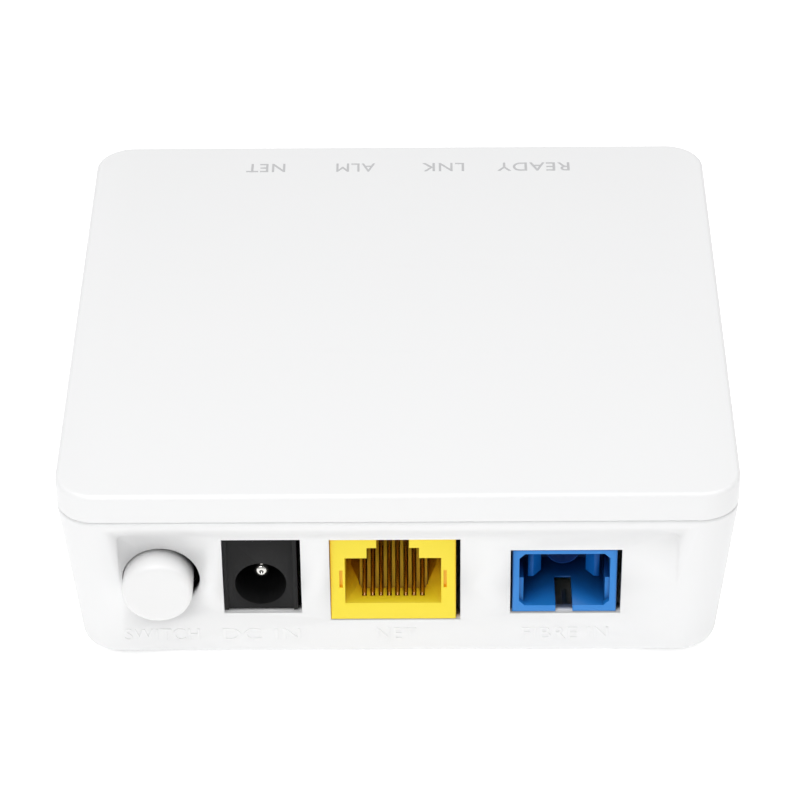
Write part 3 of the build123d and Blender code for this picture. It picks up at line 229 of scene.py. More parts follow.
def board_material():
    """Green solder mask over copper: bundles of tracks on two headings, round vias, a woven ground."""
    look = Look("circuit_board_green", rough=0.32, Coat_Weight=0.25)
    mask, copper = (0.008, 0.085, 0.032), (0.02, 0.17, 0.06)
    hole, core = (0.45, 0.40, 0.30), (0.36, 0.33, 0.16)
    vias = look.ramp(look.cells(260.0), [(0.06, WHITE), (0.09, BLACK)])
    ground = look.ramp(look.noise(90.0, 3), [(0.4, mask), (0.6, [c * 1.35 for c in mask])])
    area = look.noise(48.0, 1)
    line = look.blend(
        look.ramp(area, [(0.53, BLACK), (0.54, WHITE)]),
        look.blend(look.ramp(area, [(0.40, WHITE), (0.41, BLACK)]), BLACK, look.tracks(math.pi / 2)),
        look.tracks(0.0),
    )
    tracked = look.blend(line, ground, copper)
    # The cut edges show the glass-fibre core instead of the mask
    split = look.tree.nodes.new("ShaderNodeSeparateXYZ")
    geometry = look.tree.nodes.new("ShaderNodeNewGeometry")
    look.link(geometry.outputs["True Normal"], split.inputs["Vector"])
    flat = look.tree.nodes.new("ShaderNodeMath")
    flat.operation = "ABSOLUTE"
    look.link(split.outputs["Z"], flat.inputs[0])
    layers = look.ramp(look.noise(700.0, 2, (0.2, 0.2, 6.0)), [(0.4, core), (0.6, [c * 1.3 for c in core])])
    on_face = look.span(flat.outputs["Value"], 0.0, 1.0, 0.4, 0.6)
    look.colour(look.blend(on_face, layers, look.blend(vias, tracked, hole)))
    look.bump(line, 0.35, 0.00002)
    look.bump(look.noise(1800.0, 2, (1.0, 3.0, 1.0)), 0.12)
    return look.mat


def label_material():
    """Plain label stock: paper fibre and a faint patchy yellowing."""
    look = Look("label_stock", rough=0.55)
    fibre = look.ramp(
        look.noise(1400.0, 5, (1.0, 0.4, 1.0)), [(0.35, (0.78, 0.78, 0.76)), (0.65, (0.86, 0.86, 0.84))]
    )
    drift = look.ramp(look.noise(30.0, 2), [(0.3, (0.85, 0.84, 0.79)), (0.7, (0.86, 0.86, 0.85))])
    look.colour(look.blend(0.35, fibre, drift))
    look.bump(look.noise(2200.0, 4), 0.25)
    return look.mat


def clear_material():
    """Clear polycarbonate with flow marks from the mould gate."""
    look = Look("clear_guide", rough=0.12, Transmission_Weight=0.85, IOR=1.58)
    look.colour(look.ramp(look.noise(260.0, 2), [(0.3, (0.80, 0.88, 0.90)), (0.7, (0.93, 0.97, 0.98))]))
    look.roughness(0.05, 0.22, 300.0)
    look.bump(look.noise(700.0, 2, (1.0, 0.2, 1.0)), 0.2)
    return look.mat


SHELL = (0.900, 0.902, 0.905)
CAP = (0.885, 0.885, 0.885)
MATERIALS = {
    "shell_white": plastic(
        "shell_white", SHELL, (0.29, 0.31), 0.04, spread=0.004, Coat_Weight=0.25, Coat_Roughness=0.12
    ),
    "cap_white": plastic("cap_white", CAP, (0.32, 0.36), 0.05, spread=0.004, Coat_Weight=0.1),
    "guide_clear": clear_material(),
    "foot_rubber": speckled("foot_rubber", (0.28, 0.28, 0.28), (0.36, 0.36, 0.36), 900.0, (0.6, 0.8), 0.5),
    "label_paper": label_material(),
    "screw_steel": metal("screw_steel", (0.52, 0.52, 0.54), (0.28, 0.45)),
    "board_green": board_material(),
    "chip_black": speckled(
        "chip_black", (0.018, 0.018, 0.019), (0.034, 0.034, 0.035), 2400.0, (0.45, 0.62)
    ),
    "solder_tin": metal("solder_tin", (0.68, 0.68, 0.69), (0.25, 0.42)),
    "pad_grey": speckled("pad_grey", (0.30, 0.36, 0.42), (0.40, 0.45, 0.50), 1600.0, (0.7, 0.85)),
    "sink_aluminium": metal("sink_aluminium", (0.62, 0.62, 0.63), (0.30, 0.45), (1.0, 0.08, 1.0)),
    "can_steel": metal("can_steel", (0.64, 0.63, 0.61), (0.18, 0.30), (0.1, 1.0, 1.0)),
    "ferrite_grey": speckled(
        "ferrite_grey", (0.05, 0.05, 0.052), (0.10, 0.10, 0.105), 2000.0, (0.55, 0.75)
    ),
    "can_aluminium": metal("can_aluminium", (0.70, 0.70, 0.71), (0.2, 0.33), (1.0, 1.0, 0.08)),
    "ceramic_tan": speckled(
        "ceramic_tan", (0.34, 0.23, 0.12), (0.46, 0.33, 0.19), 2600.0, (0.4, 0.55), 0.2
    ),
    "resistor_black": speckled(
        "resistor_black", (0.02, 0.02, 0.022), (0.045, 0.045, 0.05), 2600.0, (0.25, 0.4), 0.2
    ),
    "light_lens": plastic("light_lens", (0.80, 0.83, 0.70), (0.15, 0.25), 0.05, Transmission_Weight=0.3),
    "switch_black": plastic("switch_black", (0.020, 0.020, 0.021), (0.4, 0.55), 0.2),
    "slider_white": plastic("slider_white", (0.74, 0.74, 0.70), (0.35, 0.5), 0.12),
    "contact_bronze": metal("contact_bronze", (0.72, 0.47, 0.28), (0.22, 0.36), (1.0, 0.15, 1.0)),
    "spring_steel": metal("spring_steel", (0.50, 0.50, 0.52), (0.2, 0.34)),
    "socket_black": plastic(
        "socket_black", (0.006, 0.006, 0.0065), (0.5, 0.62), 0.25, 2000.0, Specular_IOR_Level=0.25
    ),
    "pin_nickel": metal("pin_nickel", (0.74, 0.73, 0.70), (0.10, 0.20), (1.0, 0.1, 1.0), 0.04),
    # The darker second colours given to the socket plastics below are painted shade that darkens their
    # cavities
    "socket_yellow": plastic(
        "socket_yellow", (0.96, 0.77, 0.028), (0.34, 0.46), 0.15, 2200.0, 0.03,
        cavity_shade=((0.98, 0.50, 0.008), 0.005, 0.15, 0.85)
    ),
    # block_amber is the socket yellow darkened into amber: painted shade for the contact block deep in the
    # network mouth
    "block_amber": plastic(
        "block_amber", (0.84, 0.58, 0.04), (0.45, 0.6), 0.18, 2200.0, 0.05,
        cavity_shade=((0.46, 0.22, 0.02), 0.005, 0.05, 0.65), Specular_IOR_Level=0.2
    ),
    # contact_gold is a darker, redder gold than can_gold: painted shade for the contacts deep in the
    # network mouth
    "contact_gold": metal("contact_gold", (0.60, 0.33, 0.13), (0.12, 0.22), (1.0, 0.12, 1.0)),
    "socket_blue": plastic(
        "socket_blue", (0.014, 0.235, 0.70), (0.36, 0.48), 0.18, 2200.0, 0.05,
        cavity_shade=((0.001, 0.030, 0.15), 0.007, 0.2, 0.85)
    ),
    # arm_blue and holder_blue are darker copies of the socket blue: painted shade for the latch arms and
    # sleeve holder deep inside the fibre port
    "arm_blue": plastic(
        "arm_blue", (0.004, 0.13, 0.46), (0.34, 0.46), 0.15, 2200.0, 0.05,
        cavity_shade=((0.001, 0.03, 0.14), 0.006, 0.1, 0.8), Specular_IOR_Level=0.2
    ),
    "holder_blue": plastic(
        "holder_blue", (0.01, 0.06, 0.26), (0.3, 0.4), 0.12, 2200.0, 0.05, Specular_IOR_Level=0.25
    ),
    "zirconia_white": plastic("zirconia_white", (0.82, 0.82, 0.78), (0.08, 0.15), 0.03, spread=0.01),
    "block_nickel": metal("block_nickel", (0.58, 0.57, 0.55), (0.24, 0.4), (1.0, 0.1, 1.0)),
    "can_gold": metal("can_gold", (0.86, 0.62, 0.28), (0.16, 0.28)),
}

# ---------------------------------------------------------------- CAD nodes: material, edges, shading
SHARP = math.radians(32)
WELD_DISTANCE = 0.5e-6
EDGE_RADII = {  # millimetres, for the nodes whose CAD edges are square
    "power_socket_housing": 0.12, "lan_socket_housing": 0.10, "lan_contact_block": 0.08,
    "optical_socket_housing": 0.10, "latch_arm_left": 0.08, "latch_arm_right": 0.08,
    "switch_housing": 0.12, "switch_slider": 0.12, "heat_sink": 0.12, "thermal_pad": 0.12,
    "transceiver_block": 0.15, "light_guide": 0.08,
    "case_screws": 0.22, "board_screws": 0.18, "switch_terminals": 0.06, "switch_wipers": 0.06,
    "power_leaf_contact": 0.04, "sleeve_holder": 0.05,
}
slot_of = {s["node"]: s["material_slot"] for s in frame["record"]["subparts"]}

for node, obj in frame["nodes"].items():
    obj.data.materials.clear()
    obj.data.materials.append(MATERIALS[slot_of[node]])
    obj.data.shade_smooth()
    weld = obj.modifiers.new("weld", "WELD")
    weld.merge_threshold = WELD_DISTANCE
    if node in EDGE_RADII:
        bevel = obj.modifiers.new("edge", "BEVEL")
        bevel.width = EDGE_RADII[node] * MM
        bevel.segments = 2
        bevel.limit_method = "ANGLE"
        bevel.angle_limit = SHARP
        bevel.harden_normals = True
    else:
        obj.data.set_sharp_from_angle(angle=SHARP)

# ---------------------------------------------------------------- legends
LEGEND_GREY = plastic("legend_grey", (0.55, 0.55, 0.56), (0.5, 0.6), 0.2, spread=0.05)
LETTER_SHARP = math.radians(40)


def lettering(name, words, width, height, thick, where, across, up, look):
    """Generic words as thin raised letters, fitted to a width and cap height and laid on a surface."""
    curve = bpy.data.curves.new(name, "FONT")
    curve.body = words
    curve.align_x = "CENTER"
    curve.space_character = 1.1
    curve.extrude = 0.5
    curve.bevel_depth = 0.008
    curve.resolution_u = 6
    flat = bpy.data.objects.new(name + "_curve", curve)
    bpy.context.scene.collection.objects.link(flat)
    bpy.context.view_layer.update()
    mesh = bpy.data.meshes.new_from_object(flat.evaluated_get(bpy.context.evaluated_depsgraph_get()))
    bpy.data.objects.remove(flat)
    xs = [v.co.x for v in mesh.vertices]
    ys = [v.co.y for v in mesh.vertices]
    middle = Vector(((min(xs) + max(xs)) / 2, (min(ys) + max(ys)) / 2, 0))
    across, up = Vector(across).normalized(), Vector(up).normalized()
    out = across.cross(up)
    sx, sy = width * MM / (max(xs) - min(xs)), height * MM / (max(ys) - min(ys))
    for v in mesh.vertices:
        p = v.co - middle
        v.co = Vector(where) * MM + across * p.x * sx + up * p.y * sy + out * (p.z * thick * MM)
    mesh.materials.clear()
    mesh.materials.append(look)
    mesh.shade_smooth()
    mesh.set_sharp_from_angle(angle=LETTER_SHARP)
    obj = bpy.data.objects.new(name, mesh)
    bpy.context.scene.collection.objects.link(obj)
    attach(obj, "case")


cover_low, cover_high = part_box("top_cover")
LIP_HEIGHT = 1.4  # the case's inner lip stands this far above the sloping wall
RIM_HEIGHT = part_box("bottom_case")[1].z / MM - LIP_HEIGHT
WALL_LEAN = 2.0 / 22.1  # the case wall leans out this much per unit of height
REAR_LEGEND_Z, REAR_LEGEND_HEIGHT, REAR_LEGEND_RELIEF = 4.4, 2.0, 0.2
TOP_LEGEND_INSET, TOP_LEGEND_HEIGHT, TOP_LEGEND_INK = 5.6, 2.1, 0.03
wall_y = cover_low.y / MM + WALL_LEAN * (RIM_HEIGHT - REAR_LEGEND_Z)
lid_y, lid_z = cover_high.y / MM - TOP_LEGEND_INSET, cover_high.z / MM

for words, x, width in (
    ("SWITCH", -29.35, 9.3), ("DC IN", -17.0, 9.6), ("NET", -0.35, 4.9), ("FIBRE IN", 20.55, 10.7),
):
    lettering(
        "legend_rear_" + words.lower().replace(" ", "_"), words,
        width, REAR_LEGEND_HEIGHT, REAR_LEGEND_RELIEF,
        (x, wall_y, REAR_LEGEND_Z), (1, 0, 0), (0, -WALL_LEAN, 1), MATERIALS["shell_white"],
    )
for words, x, width in (("NET", -18.3, 5.3), ("ALM", -6.0, 5.3), ("LNK", 5.95, 5.75), ("READY", 18.3, 9.9)):
    lettering(
        "legend_top_" + words.lower(), words,
        width, TOP_LEGEND_HEIGHT, TOP_LEGEND_INK,
        (x, lid_y, lid_z), (-1, 0, 0), (0, -1, 0), LEGEND_GREY,
    )

# ---------------------------------------------------------------- switch spring


def coil(name, centre, start, stop, radius, wire, turns, end_turns=0.9, steps=22, sides=8):
    """A compression spring along +Y with closed ends, as one swept tube."""
    count = int(turns * steps)
    points = []
    for i in range(count + 1):
        turn = turns * i / count
        inner = min(max(turn - end_turns, 0.0), turns - 2 * end_turns) / (turns - 2 * end_turns)
        ends = min(turn, end_turns) + max(turn - (turns - end_turns), 0.0)
        flat = 2 * end_turns * wire * 2
        y = start + wire + ends * wire * 2 + inner * (stop - start - 2 * wire - flat)
        across, up = radius * math.cos(TAU * turn), radius * math.sin(TAU * turn)
        points.append(Vector((centre[0] + across, y, centre[1] + up)))
    bm = bmesh.new()
    rings = []
    for i, p in enumerate(points):
        ahead = (points[min(i + 1, count)] - points[max(i - 1, 0)]).normalized()
        outward = Vector((p.x - centre[0], 0, p.z - centre[1])).normalized()
        side = ahead.cross(outward)
        ring = []
        for k in range(sides):
            a = TAU * k / sides
            ring.append(bm.verts.new((p + (outward * math.cos(a) + side * math.sin(a)) * wire) * MM))
        rings.append(ring)
    for a, b in zip(rings, rings[1:]):
        for k in range(sides):
            bm.faces.new((a[k], a[(k + 1) % sides], b[(k + 1) % sides], b[k]))
    bm.faces.new(rings[0])
    bm.faces.new(reversed(rings[-1]))
    bmesh.ops.recalc_face_normals(bm, faces=bm.faces)
    mesh = bpy.data.meshes.new(name)
    bm.to_mesh(mesh)
    bm.free()
    mesh.shade_smooth()
    obj = bpy.data.objects.new(name, mesh)
    bpy.context.scene.collection.objects.link(obj)
    return obj


SPRING_RADIUS, SPRING_WIRE, SPRING_TURNS = 1.55, 0.2, 8.0
low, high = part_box("switch_spring")
spring_x, spring_z = (low.x + high.x) / 2, (low.z + high.z) / 2
spring = coil(
    "coil_spring", (spring_x / MM, spring_z / MM), low.y / MM, high.y / MM,
    SPRING_RADIUS, SPRING_WIRE, SPRING_TURNS,
)
spring.data.materials.append(MATERIALS["spring_steel"])
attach(spring, "case")
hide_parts("switch_spring")
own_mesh(spring)

# ---------------------------------------------------------------- mesh helpers for the small parts inside


def islands(node):
    """(low, high) corners, in millimetres, of every separate solid in a CAD node."""
    bm = bmesh.new()
    bm.from_mesh(frame["nodes"][node].data)
    bmesh.ops.remove_doubles(bm, verts=bm.verts, dist=1e-7)
    seen = set()
    found = []
    for first in bm.verts:
        if first in seen:
            continue
        seen.add(first)
        stack, cluster = [first], []
        while stack:
            vert = stack.pop()
            cluster.append(vert.co / MM)
            for edge in vert.link_edges:
                other = edge.other_vert(vert)
                if other not in seen:
                    seen.add(other)
                    stack.append(other)
        low = Vector([min(p[i] for p in cluster) for i in range(3)])
        high = Vector([max(p[i] for p in cluster) for i in range(3)])
        found.append((low, high))
    bm.free()
    return found


def brick(bm, low, high, edge=0.08, segments=2):
    """A block between two corners with rounded edges."""
    verts = bmesh.ops.create_cube(bm, size=1.0)["verts"]
    low, high = Vector(low), Vector(high)
    for v in verts:
        v.co = (low + high) / 2 + Vector([v.co[i] * (high[i] - low[i]) for i in range(3)])
    edges = list({e for v in verts for e in v.link_edges})
    bmesh.ops.bevel(bm, geom=edges, offset=edge, segments=segments, profile=0.5, affect="EDGES")


def circle(sides, radius=1.0):
    """Points of a regular polygon about the origin, as (x, y)."""
    return [(radius * math.cos(TAU * k / sides), radius * math.sin(TAU * k / sides)) for k in range(sides)]


def skin(bm, lower, upper):
    """Faces between two rings; a ring of one vertex closes to a point."""
    for k in range(max(len(lower), len(upper))):
        corners = []
        for ring, step in ((lower, k), (lower, k + 1), (upper, k + 1), (upper, k)):
            vert = ring[step % len(ring)]
            if vert not in corners:
                corners.append(vert)
        if len(corners) > 2:
            bm.faces.new(corners)


def sweep(bm, rings):
    """A closed body through rings of vertices."""
    for lower, upper in zip(rings, rings[1:]):
        skin(bm, lower, upper)
    for ring in (rings[0], rings[-1]):
        if len(ring) > 2:
            bm.faces.new(ring)


def heading(path, i):
    """Unit direction of a path at its point i."""
    return (path[min(i + 1, len(path) - 1)] - path[max(i - 1, 0)]).normalized()


def lathe(bm, profile, centre, sides=24):
    """Turns a profile of (radius, height) about an upright axis through centre."""
    rings = []
    for radius, height in profile:
        outline = circle(sides, radius) if radius > 0 else [(0, 0)]
        rings.append([bm.verts.new(Vector(centre) + Vector((a, b, height))) for a, b in outline])
    sweep(bm, rings)


def strip(bm, path, across, width, thickness):
    """A flat strip bent along a path, with its width along the across direction."""
    across = Vector(across).normalized() * width / 2
    rings = []
    for i, point in enumerate(path):
        out = heading(path, i).cross(across).normalized() * thickness / 2
        corners = ((-1, -1), (1, -1), (1, 1), (-1, 1))
        rings.append([bm.verts.new(point + s * across + t * out) for s, t in corners])
    sweep(bm, rings)


def tube(bm, points, radius, sides):
    """A round wire through points."""
    rings = []
    for i, point in enumerate(points):
        ahead = heading(points, i)
        side = (side - ahead * side.dot(ahead)).normalized() if i else ahead.orthogonal().normalized()
        other = ahead.cross(side)
        rings.append([bm.verts.new(point + (side * a + other * b) * radius) for a, b in circle(sides)])
    sweep(bm, rings)


def piece(name, bm, slot_name, *stands_for, look=None):
    """Finishes a bmesh drawn in millimetres as one piece riding on the case."""
    bmesh.ops.recalc_face_normals(bm, faces=bm.faces)
    bmesh.ops.scale(bm, vec=(MM, MM, MM), verts=bm.verts)
    mesh = bpy.data.meshes.new(name)
    bm.to_mesh(mesh)
    bm.free()
    mesh.materials.append(look or MATERIALS[slot_name])
    mesh.shade_smooth()
    mesh.set_sharp_from_angle(angle=SHARP)
    obj = bpy.data.objects.new(name, mesh)
    bpy.context.scene.collection.objects.link(obj)
    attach(obj, "case")
    if stands_for:
        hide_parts(*stands_for)


BOARD_LOW, BOARD_HIGH = (corner.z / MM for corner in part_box("circuit_board"))

# ---------------------------------------------------------------- chips with their leads
DIMPLE = 0.45  # radius of the first-pin dimple on a large chip
DIMPLE_SHARE = 0.09  # and its limit as a share of a small chip's width
DIMPLE_DEPTH = 0.08
PARTING = 0.05  # half the height of the parting line
CHIP_SLOPE, TRANSFORMER_SLOPE = 0.12, 0.3
LEAD_WIDTH, LEAD_THICKNESS = 0.3, 0.14


def moulded(bm, low, high, slope, dimple):
    """A moulded chip body: a parting line at half height, sloping faces and a dimple at the first pin."""
    middle = (low.z + high.z) / 2
    rings = []
    for z, shrink in (
        (low.z, slope + 0.1), (low.z + 0.1, slope),
        (middle - PARTING, 0.02), (middle, 0.0), (middle + PARTING, 0.02), (high.z, slope),
    ):
        x0, y0, x1, y1 = low.x + shrink, low.y + shrink, high.x - shrink, high.y - shrink
        rings.append([bm.verts.new((x, y, z)) for x, y in ((x0, y0), (x1, y0), (x1, y1), (x0, y1))])
    for a, b in zip(rings, rings[1:]):
        skin(bm, a, b)
    bm.faces.new(rings[-1])
    reach = dimple + slope + 0.35
    rim = [bm.verts.new((low.x + reach + a, low.y + reach + b, low.z)) for a, b in circle(20, dimple)]
    sunk = [bm.verts.new((v.co.x, v.co.y, v.co.z + DIMPLE_DEPTH)) for v in rim]
    skin(bm, rim, sunk)
    bm.faces.new(sunk)
    edges = []
    for ring in (rings[0], rim):
        edges += [bm.edges.get((a, b)) for a, b in zip(ring, ring[1:] + ring[:1])]
    bmesh.ops.triangle_fill(bm, use_beauty=True, use_dissolve=False, edges=edges)


chip_bodies = []
for node in ("main_chip", "memory_chip", "flash_chip", "driver_chip", "regulator_chips", "lan_transformer"):
    bm = bmesh.new()
    for low, high in islands(node):
        slope = TRANSFORMER_SLOPE if node == "lan_transformer" else CHIP_SLOPE
        moulded(bm, low, high, slope, min(DIMPLE, (high.x - low.x) * DIMPLE_SHARE))
        if node not in ("main_chip", "driver_chip"):
            chip_bodies.append((low, high))
    piece(node + "_moulding", bm, "chip_black", node)


def gull_wing(bm, low, high):
    """A lead from the nearest chip body at half height, bent down to a flat foot on the board."""
    foot = (low + high) / 2

    def distance(box):
        return sum(max(box[0][i] - foot[i], foot[i] - box[1][i], 0) for i in (0, 1))

    body = min(chip_bodies, key=distance)
    centre = (body[0] + body[1]) / 2
    axis = 0 if foot.x < body[0].x or foot.x > body[1].x else 1
    out = Vector((0, 0, 0))
    out[axis] = math.copysign(1, foot[axis] - centre[axis])
    reach = high[axis] - low[axis]
    start = foot - out * reach / 2
    level = foot.z + 0.03
    profile = (
        (-0.15, centre.z), (0.12, centre.z), (0.2, centre.z + 0.06),
        (0.34, level - 0.1), (0.42, level), (reach, level),
    )
    path = [Vector((*(start + out * d).xy, z)) for d, z in profile]
    strip(bm, path, out.cross(Vector((0, 0, 1))), LEAD_WIDTH, LEAD_THICKNESS)
    tip = start + out * (reach + 0.05)
    lathe(bm, [(0.34, 0.0), (0.3, -0.06), (0.16, -0.12), (0, -0.14)], (tip.x, tip.y, BOARD_LOW), sides=10)


for node in ("chip_leads", "transformer_leads"):
    bm = bmesh.new()
    for low, high in islands(node):
        gull_wing(bm, low, high)
    piece(node + "_gull_wings", bm, "solder_tin", node)

bm = bmesh.new()
for low, high in islands("main_chip_balls"):
    middle, half = (low + high) / 2, (high.z - low.z) / 2
    profile = [(0.16, -half), (0.24, -half * 0.5), (0.26, 0), (0.24, half * 0.5), (0.16, half)]
    lathe(bm, profile, middle, sides=12)
piece("solder_balls", bm, "solder_tin", "main_chip_balls")

# ---------------------------------------------------------------- passive parts
END_CAP = 0.3  # length of a plated end
PLATING = 0.02


def small_part(body, ends, low, high):
    """A two-ended chip component: ceramic in the middle, plated ends and a little solder at each."""
    for side, y in ((1, low.y), (-1, high.y)):
        inner = y + side * END_CAP
        brick(
            ends, (low.x - PLATING, min(y, inner), low.z - PLATING),
            (high.x + PLATING, max(y, inner), high.z), 0.06,
        )
        fillet = ((-0.02, 0.3), (0.1, 0.12), (0.24, 0.03))
        path = [Vector(((low.x + high.x) / 2, y - side * d, BOARD_LOW - h)) for d, h in fillet]
        strip(ends, path, (1, 0, 0), high.x - low.x, 0.06)
    brick(body, (low.x, low.y + END_CAP * 0.8, low.z), (high.x, high.y - END_CAP * 0.8, high.z), 0.04)


for node, slot_name in (("smd_capacitors", "ceramic_tan"), ("smd_resistors", "resistor_black")):
    bodies, ends = bmesh.new(), bmesh.new()
    for low, high in islands(node):
        small_part(bodies, ends, low, high)
    piece(node + "_bodies", bodies, slot_name, node)
    piece(node + "_ends", ends, "solder_tin")

bm = bmesh.new()
for low, high in islands("capacitor_cans"):
    centre, r = (low + high) / 2, (high.x - low.x) / 2
    top = low.z  # the cans hang down, so their vented tops are the low ends
    profile = [
        (0, top + 0.12), (r * 0.72, top + 0.12), (r * 0.8, top),
        (r - 0.25, top), (r - 0.06, top + 0.12), (r, top + 0.4),
        (r, high.z - 1.7), (r - 0.12, high.z - 1.5), (r - 0.3, high.z - 1.25),
        (r - 0.12, high.z - 1.0), (r, high.z - 0.85),
        (r, high.z - 0.25), (r - 0.25, high.z), (0, high.z),
    ]
    lathe(bm, profile, (centre.x, centre.y, 0), sides=40)
    for k in range(3):  # raised lips of the pressed vent
        end = Vector((math.cos(TAU * k / 3 + 0.5), math.sin(TAU * k / 3 + 0.5), 0)) * r * 0.62
        start = Vector((centre.x, centre.y, top + 0.11))
        strip(bm, [start, start + end * 0.5, start + end], (-end.y, end.x, 0), 0.16, 0.08)
piece("vented_cans", bm, "can_aluminium", "capacitor_cans")

bm = bmesh.new()
for low, high in islands("capacitor_bases"):
    brick(bm, low, high, 0.12)
    for side in (-1, 1):
        x = (low.x + high.x) / 2
        y = low.y if side < 0 else high.y
        brick(bm, (x - 0.35, y - 0.5, high.z - 0.22), (x + 0.35, y + 0.5, high.z - 0.02), 0.05)
piece("capacitor_feet", bm, "chip_black", "capacitor_bases")

WINDING_ROUNDS, WINDING_RADIUS, WINDING_SWELL = 6, 2.7, 0.12
shells, windings = bmesh.new(), bmesh.new()
for low, high in islands("power_inductors"):
    centre = (low + high) / 2
    bottom, top = low.z + 0.45, high.z - 0.5
    brick(shells, (low.x, low.y, top), high, 0.18)
    brick(shells, low, (high.x, high.y, bottom), 0.18)
    profile = [(2.55, low.z + 0.1), (2.55, low.z - 0.02), (2.3, low.z - 0.06), (0, low.z - 0.06)]
    lathe(shells, profile, (centre.x, centre.y, 0), sides=36)
    profile = [(0, bottom)]
    for i in range(WINDING_ROUNDS):
        for a in (-0.5, 0.0, 0.5):
            radius = WINDING_RADIUS + WINDING_SWELL * math.cos(a * math.pi)
            profile.append((radius, bottom + (top - bottom) * (i + 0.5 + a * 0.96) / WINDING_ROUNDS))
    profile.append((0, top))
    lathe(windings, profile, (centre.x, centre.y, 0), sides=36)
piece("inductor_cores", shells, "ferrite_grey", "power_inductors")
piece("inductor_windings", windings, "contact_bronze")

cups, domes, ends = bmesh.new(), bmesh.new(), bmesh.new()
for low, high in islands("indicator_lights"):
    centre = (low + high) / 2
    brick(cups, (low.x + 0.2, low.y, low.z), (high.x - 0.2, high.y, high.z - 0.25), 0.05)
    dome = ((0.52, 0.3), (0.5, 0.16), (0.36, 0.06), (0.18, 0.01), (0, 0))
    lathe(domes, [(r, high.z - drop) for r, drop in dome], (centre.x, centre.y, 0))
    for x0, x1 in ((low.x, low.x + 0.3), (high.x - 0.3, high.x)):
        brick(ends, (x0, low.y + 0.05, low.z), (x1, high.y - 0.05, low.z + 0.3), 0.04)
piece("light_cups", cups, "slider_white", "indicator_lights")
piece("light_domes", domes, "light_lens")
piece("light_ends", ends, "solder_tin")

bm = bmesh.new()
for low, high in islands("crystal"):  # a stadium-shaped can in three steps: flange, wall, top
    r = (high.y - low.y) / 2
    for grow, z0, z1 in (
        (0.35, high.z - 0.35, high.z), (0.0, low.z + 0.25, high.z - 0.3), (-0.3, low.z, low.z + 0.3),
    ):
        outline = []
        for k in range(33):
            a = math.pi * ((k if k <= 16 else k - 1) / 16 - 0.5)
            x = high.x - r if k <= 16 else low.x + r
            y = (low.y + high.y) / 2
            outline.append((x + (r + grow) * math.cos(a), y + (r + grow) * math.sin(a)))
        sweep(bm, [[bm.verts.new((x, y, z)) for x, y in outline] for z in (z0, z1)])
piece("crystal_can", bm, "can_steel", "crystal")

# ---------------------------------------------------------------- solder joints, printed outlines
PIN_STANDS_OUT = 0.5  # a pin's tip is at least this far above the board
PIN_APART = 0.8  # points closer than this belong to one pin


def pin_tips(node):
    """Where the pins of a CAD node stick out above the board, as (x, y)."""
    groups = []
    for vert in frame["nodes"][node].data.vertices:
        point = vert.co / MM
        if point.z < BOARD_HIGH + PIN_STANDS_OUT:
            continue
        near = [g for g in groups if (g[0] - point).xy.length < PIN_APART]
        if near:
            near[0].append(point)
        else:
            groups.append([point])
    return [sum((p.xy for p in g), Vector((0, 0))) / len(g) for g in groups]


SOLDER_CONE = [(0.78, 0.0), (0.7, 0.05), (0.48, 0.2), (0.38, 0.5), (0.28, 0.8), (0, 0.84)]
bm = bmesh.new()
for node in (
    "switch_terminals", "power_terminals", "power_centre_pin", "lan_contact_rails", "transceiver_leads",
):
    for x, y in pin_tips(node):
        size = random.uniform(0.95, 1.05)
        lathe(bm, [(r * size, z) for r, z in SOLDER_CONE], (x, y, BOARD_HIGH), sides=16)
piece("solder_joints", bm, "solder_tin")

INK_WIDTH, INK_GAP, INK_DEPTH = 0.16, 0.45, 0.02
INK_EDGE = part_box("circuit_board")[0].y / MM + 0.3  # the outlines stop short of the board's edge
bm = bmesh.new()
for node in (
    "main_chip", "memory_chip", "flash_chip", "driver_chip", "regulator_chips", "lan_transformer",
    "crystal", "power_inductors", "capacitor_bases", "switch_housing", "power_socket_housing",
    "lan_socket_housing",
):
    for low, high in islands(node):
        x0, y0, x1, y1 = low.x - INK_GAP, low.y - INK_GAP, high.x + INK_GAP, high.y + INK_GAP
        y0 = max(y0, INK_EDGE)
        corners = [(x0, y0), (x1, y0), (x1, y1), (x0, y1)]
        for a, b in zip(corners, corners[1:] + corners[:1]):
            ends = [Vector((*p, BOARD_LOW - 0.012)) for p in (a, b)]
            strip(bm, ends, (0, 1, 0) if a[1] == b[1] else (1, 0, 0), INK_WIDTH, INK_DEPTH)
        lathe(bm, [(0.22, -INK_DEPTH), (0, -INK_DEPTH)], (x0 - 0.5, y0 + 0.5, BOARD_LOW), sides=12)
ink = plastic("board_ink", (0.78, 0.78, 0.74), (0.5, 0.65), 0.3, 3000.0, 0.05)
piece("printed_outlines", bm, "label_paper", look=ink)

# ---------------------------------------------------------------- screw threads


def thread(bm, centre, start, stop, radius, pitch, wire):
    """A thread ridge wound round an upright shank, fading out at its far end."""
    turns = abs(stop - start) / pitch
    count = int(turns * 18)
    points = []
    for i in range(count + 1):
        share = i / count
        angle = TAU * turns * i / count
        r = radius - wire * 0.6 * max(0.0, (share - 0.85) / 0.15)
        x, y = centre.x + r * math.cos(angle), centre.y + r * math.sin(angle)
        points.append(Vector((x, y, start + (stop - start) * i / count)))
    tube(bm, points, wire, 5)


THREAD_WIRE = 0.12
for node, shank, head_low in (("case_screws", 1.4, True), ("board_screws", 1.0, False)):
    bm = bmesh.new()
    for low, high in islands(node):
        start, stop = (low.z + 5.0, high.z - 0.2) if head_low else (high.z - 3.5, low.z + 0.2)
        thread(bm, (low + high) / 2, start, stop, shank - 0.02, 0.9 * shank, THREAD_WIRE)
    piece(node + "_threads", bm, "screw_steel")

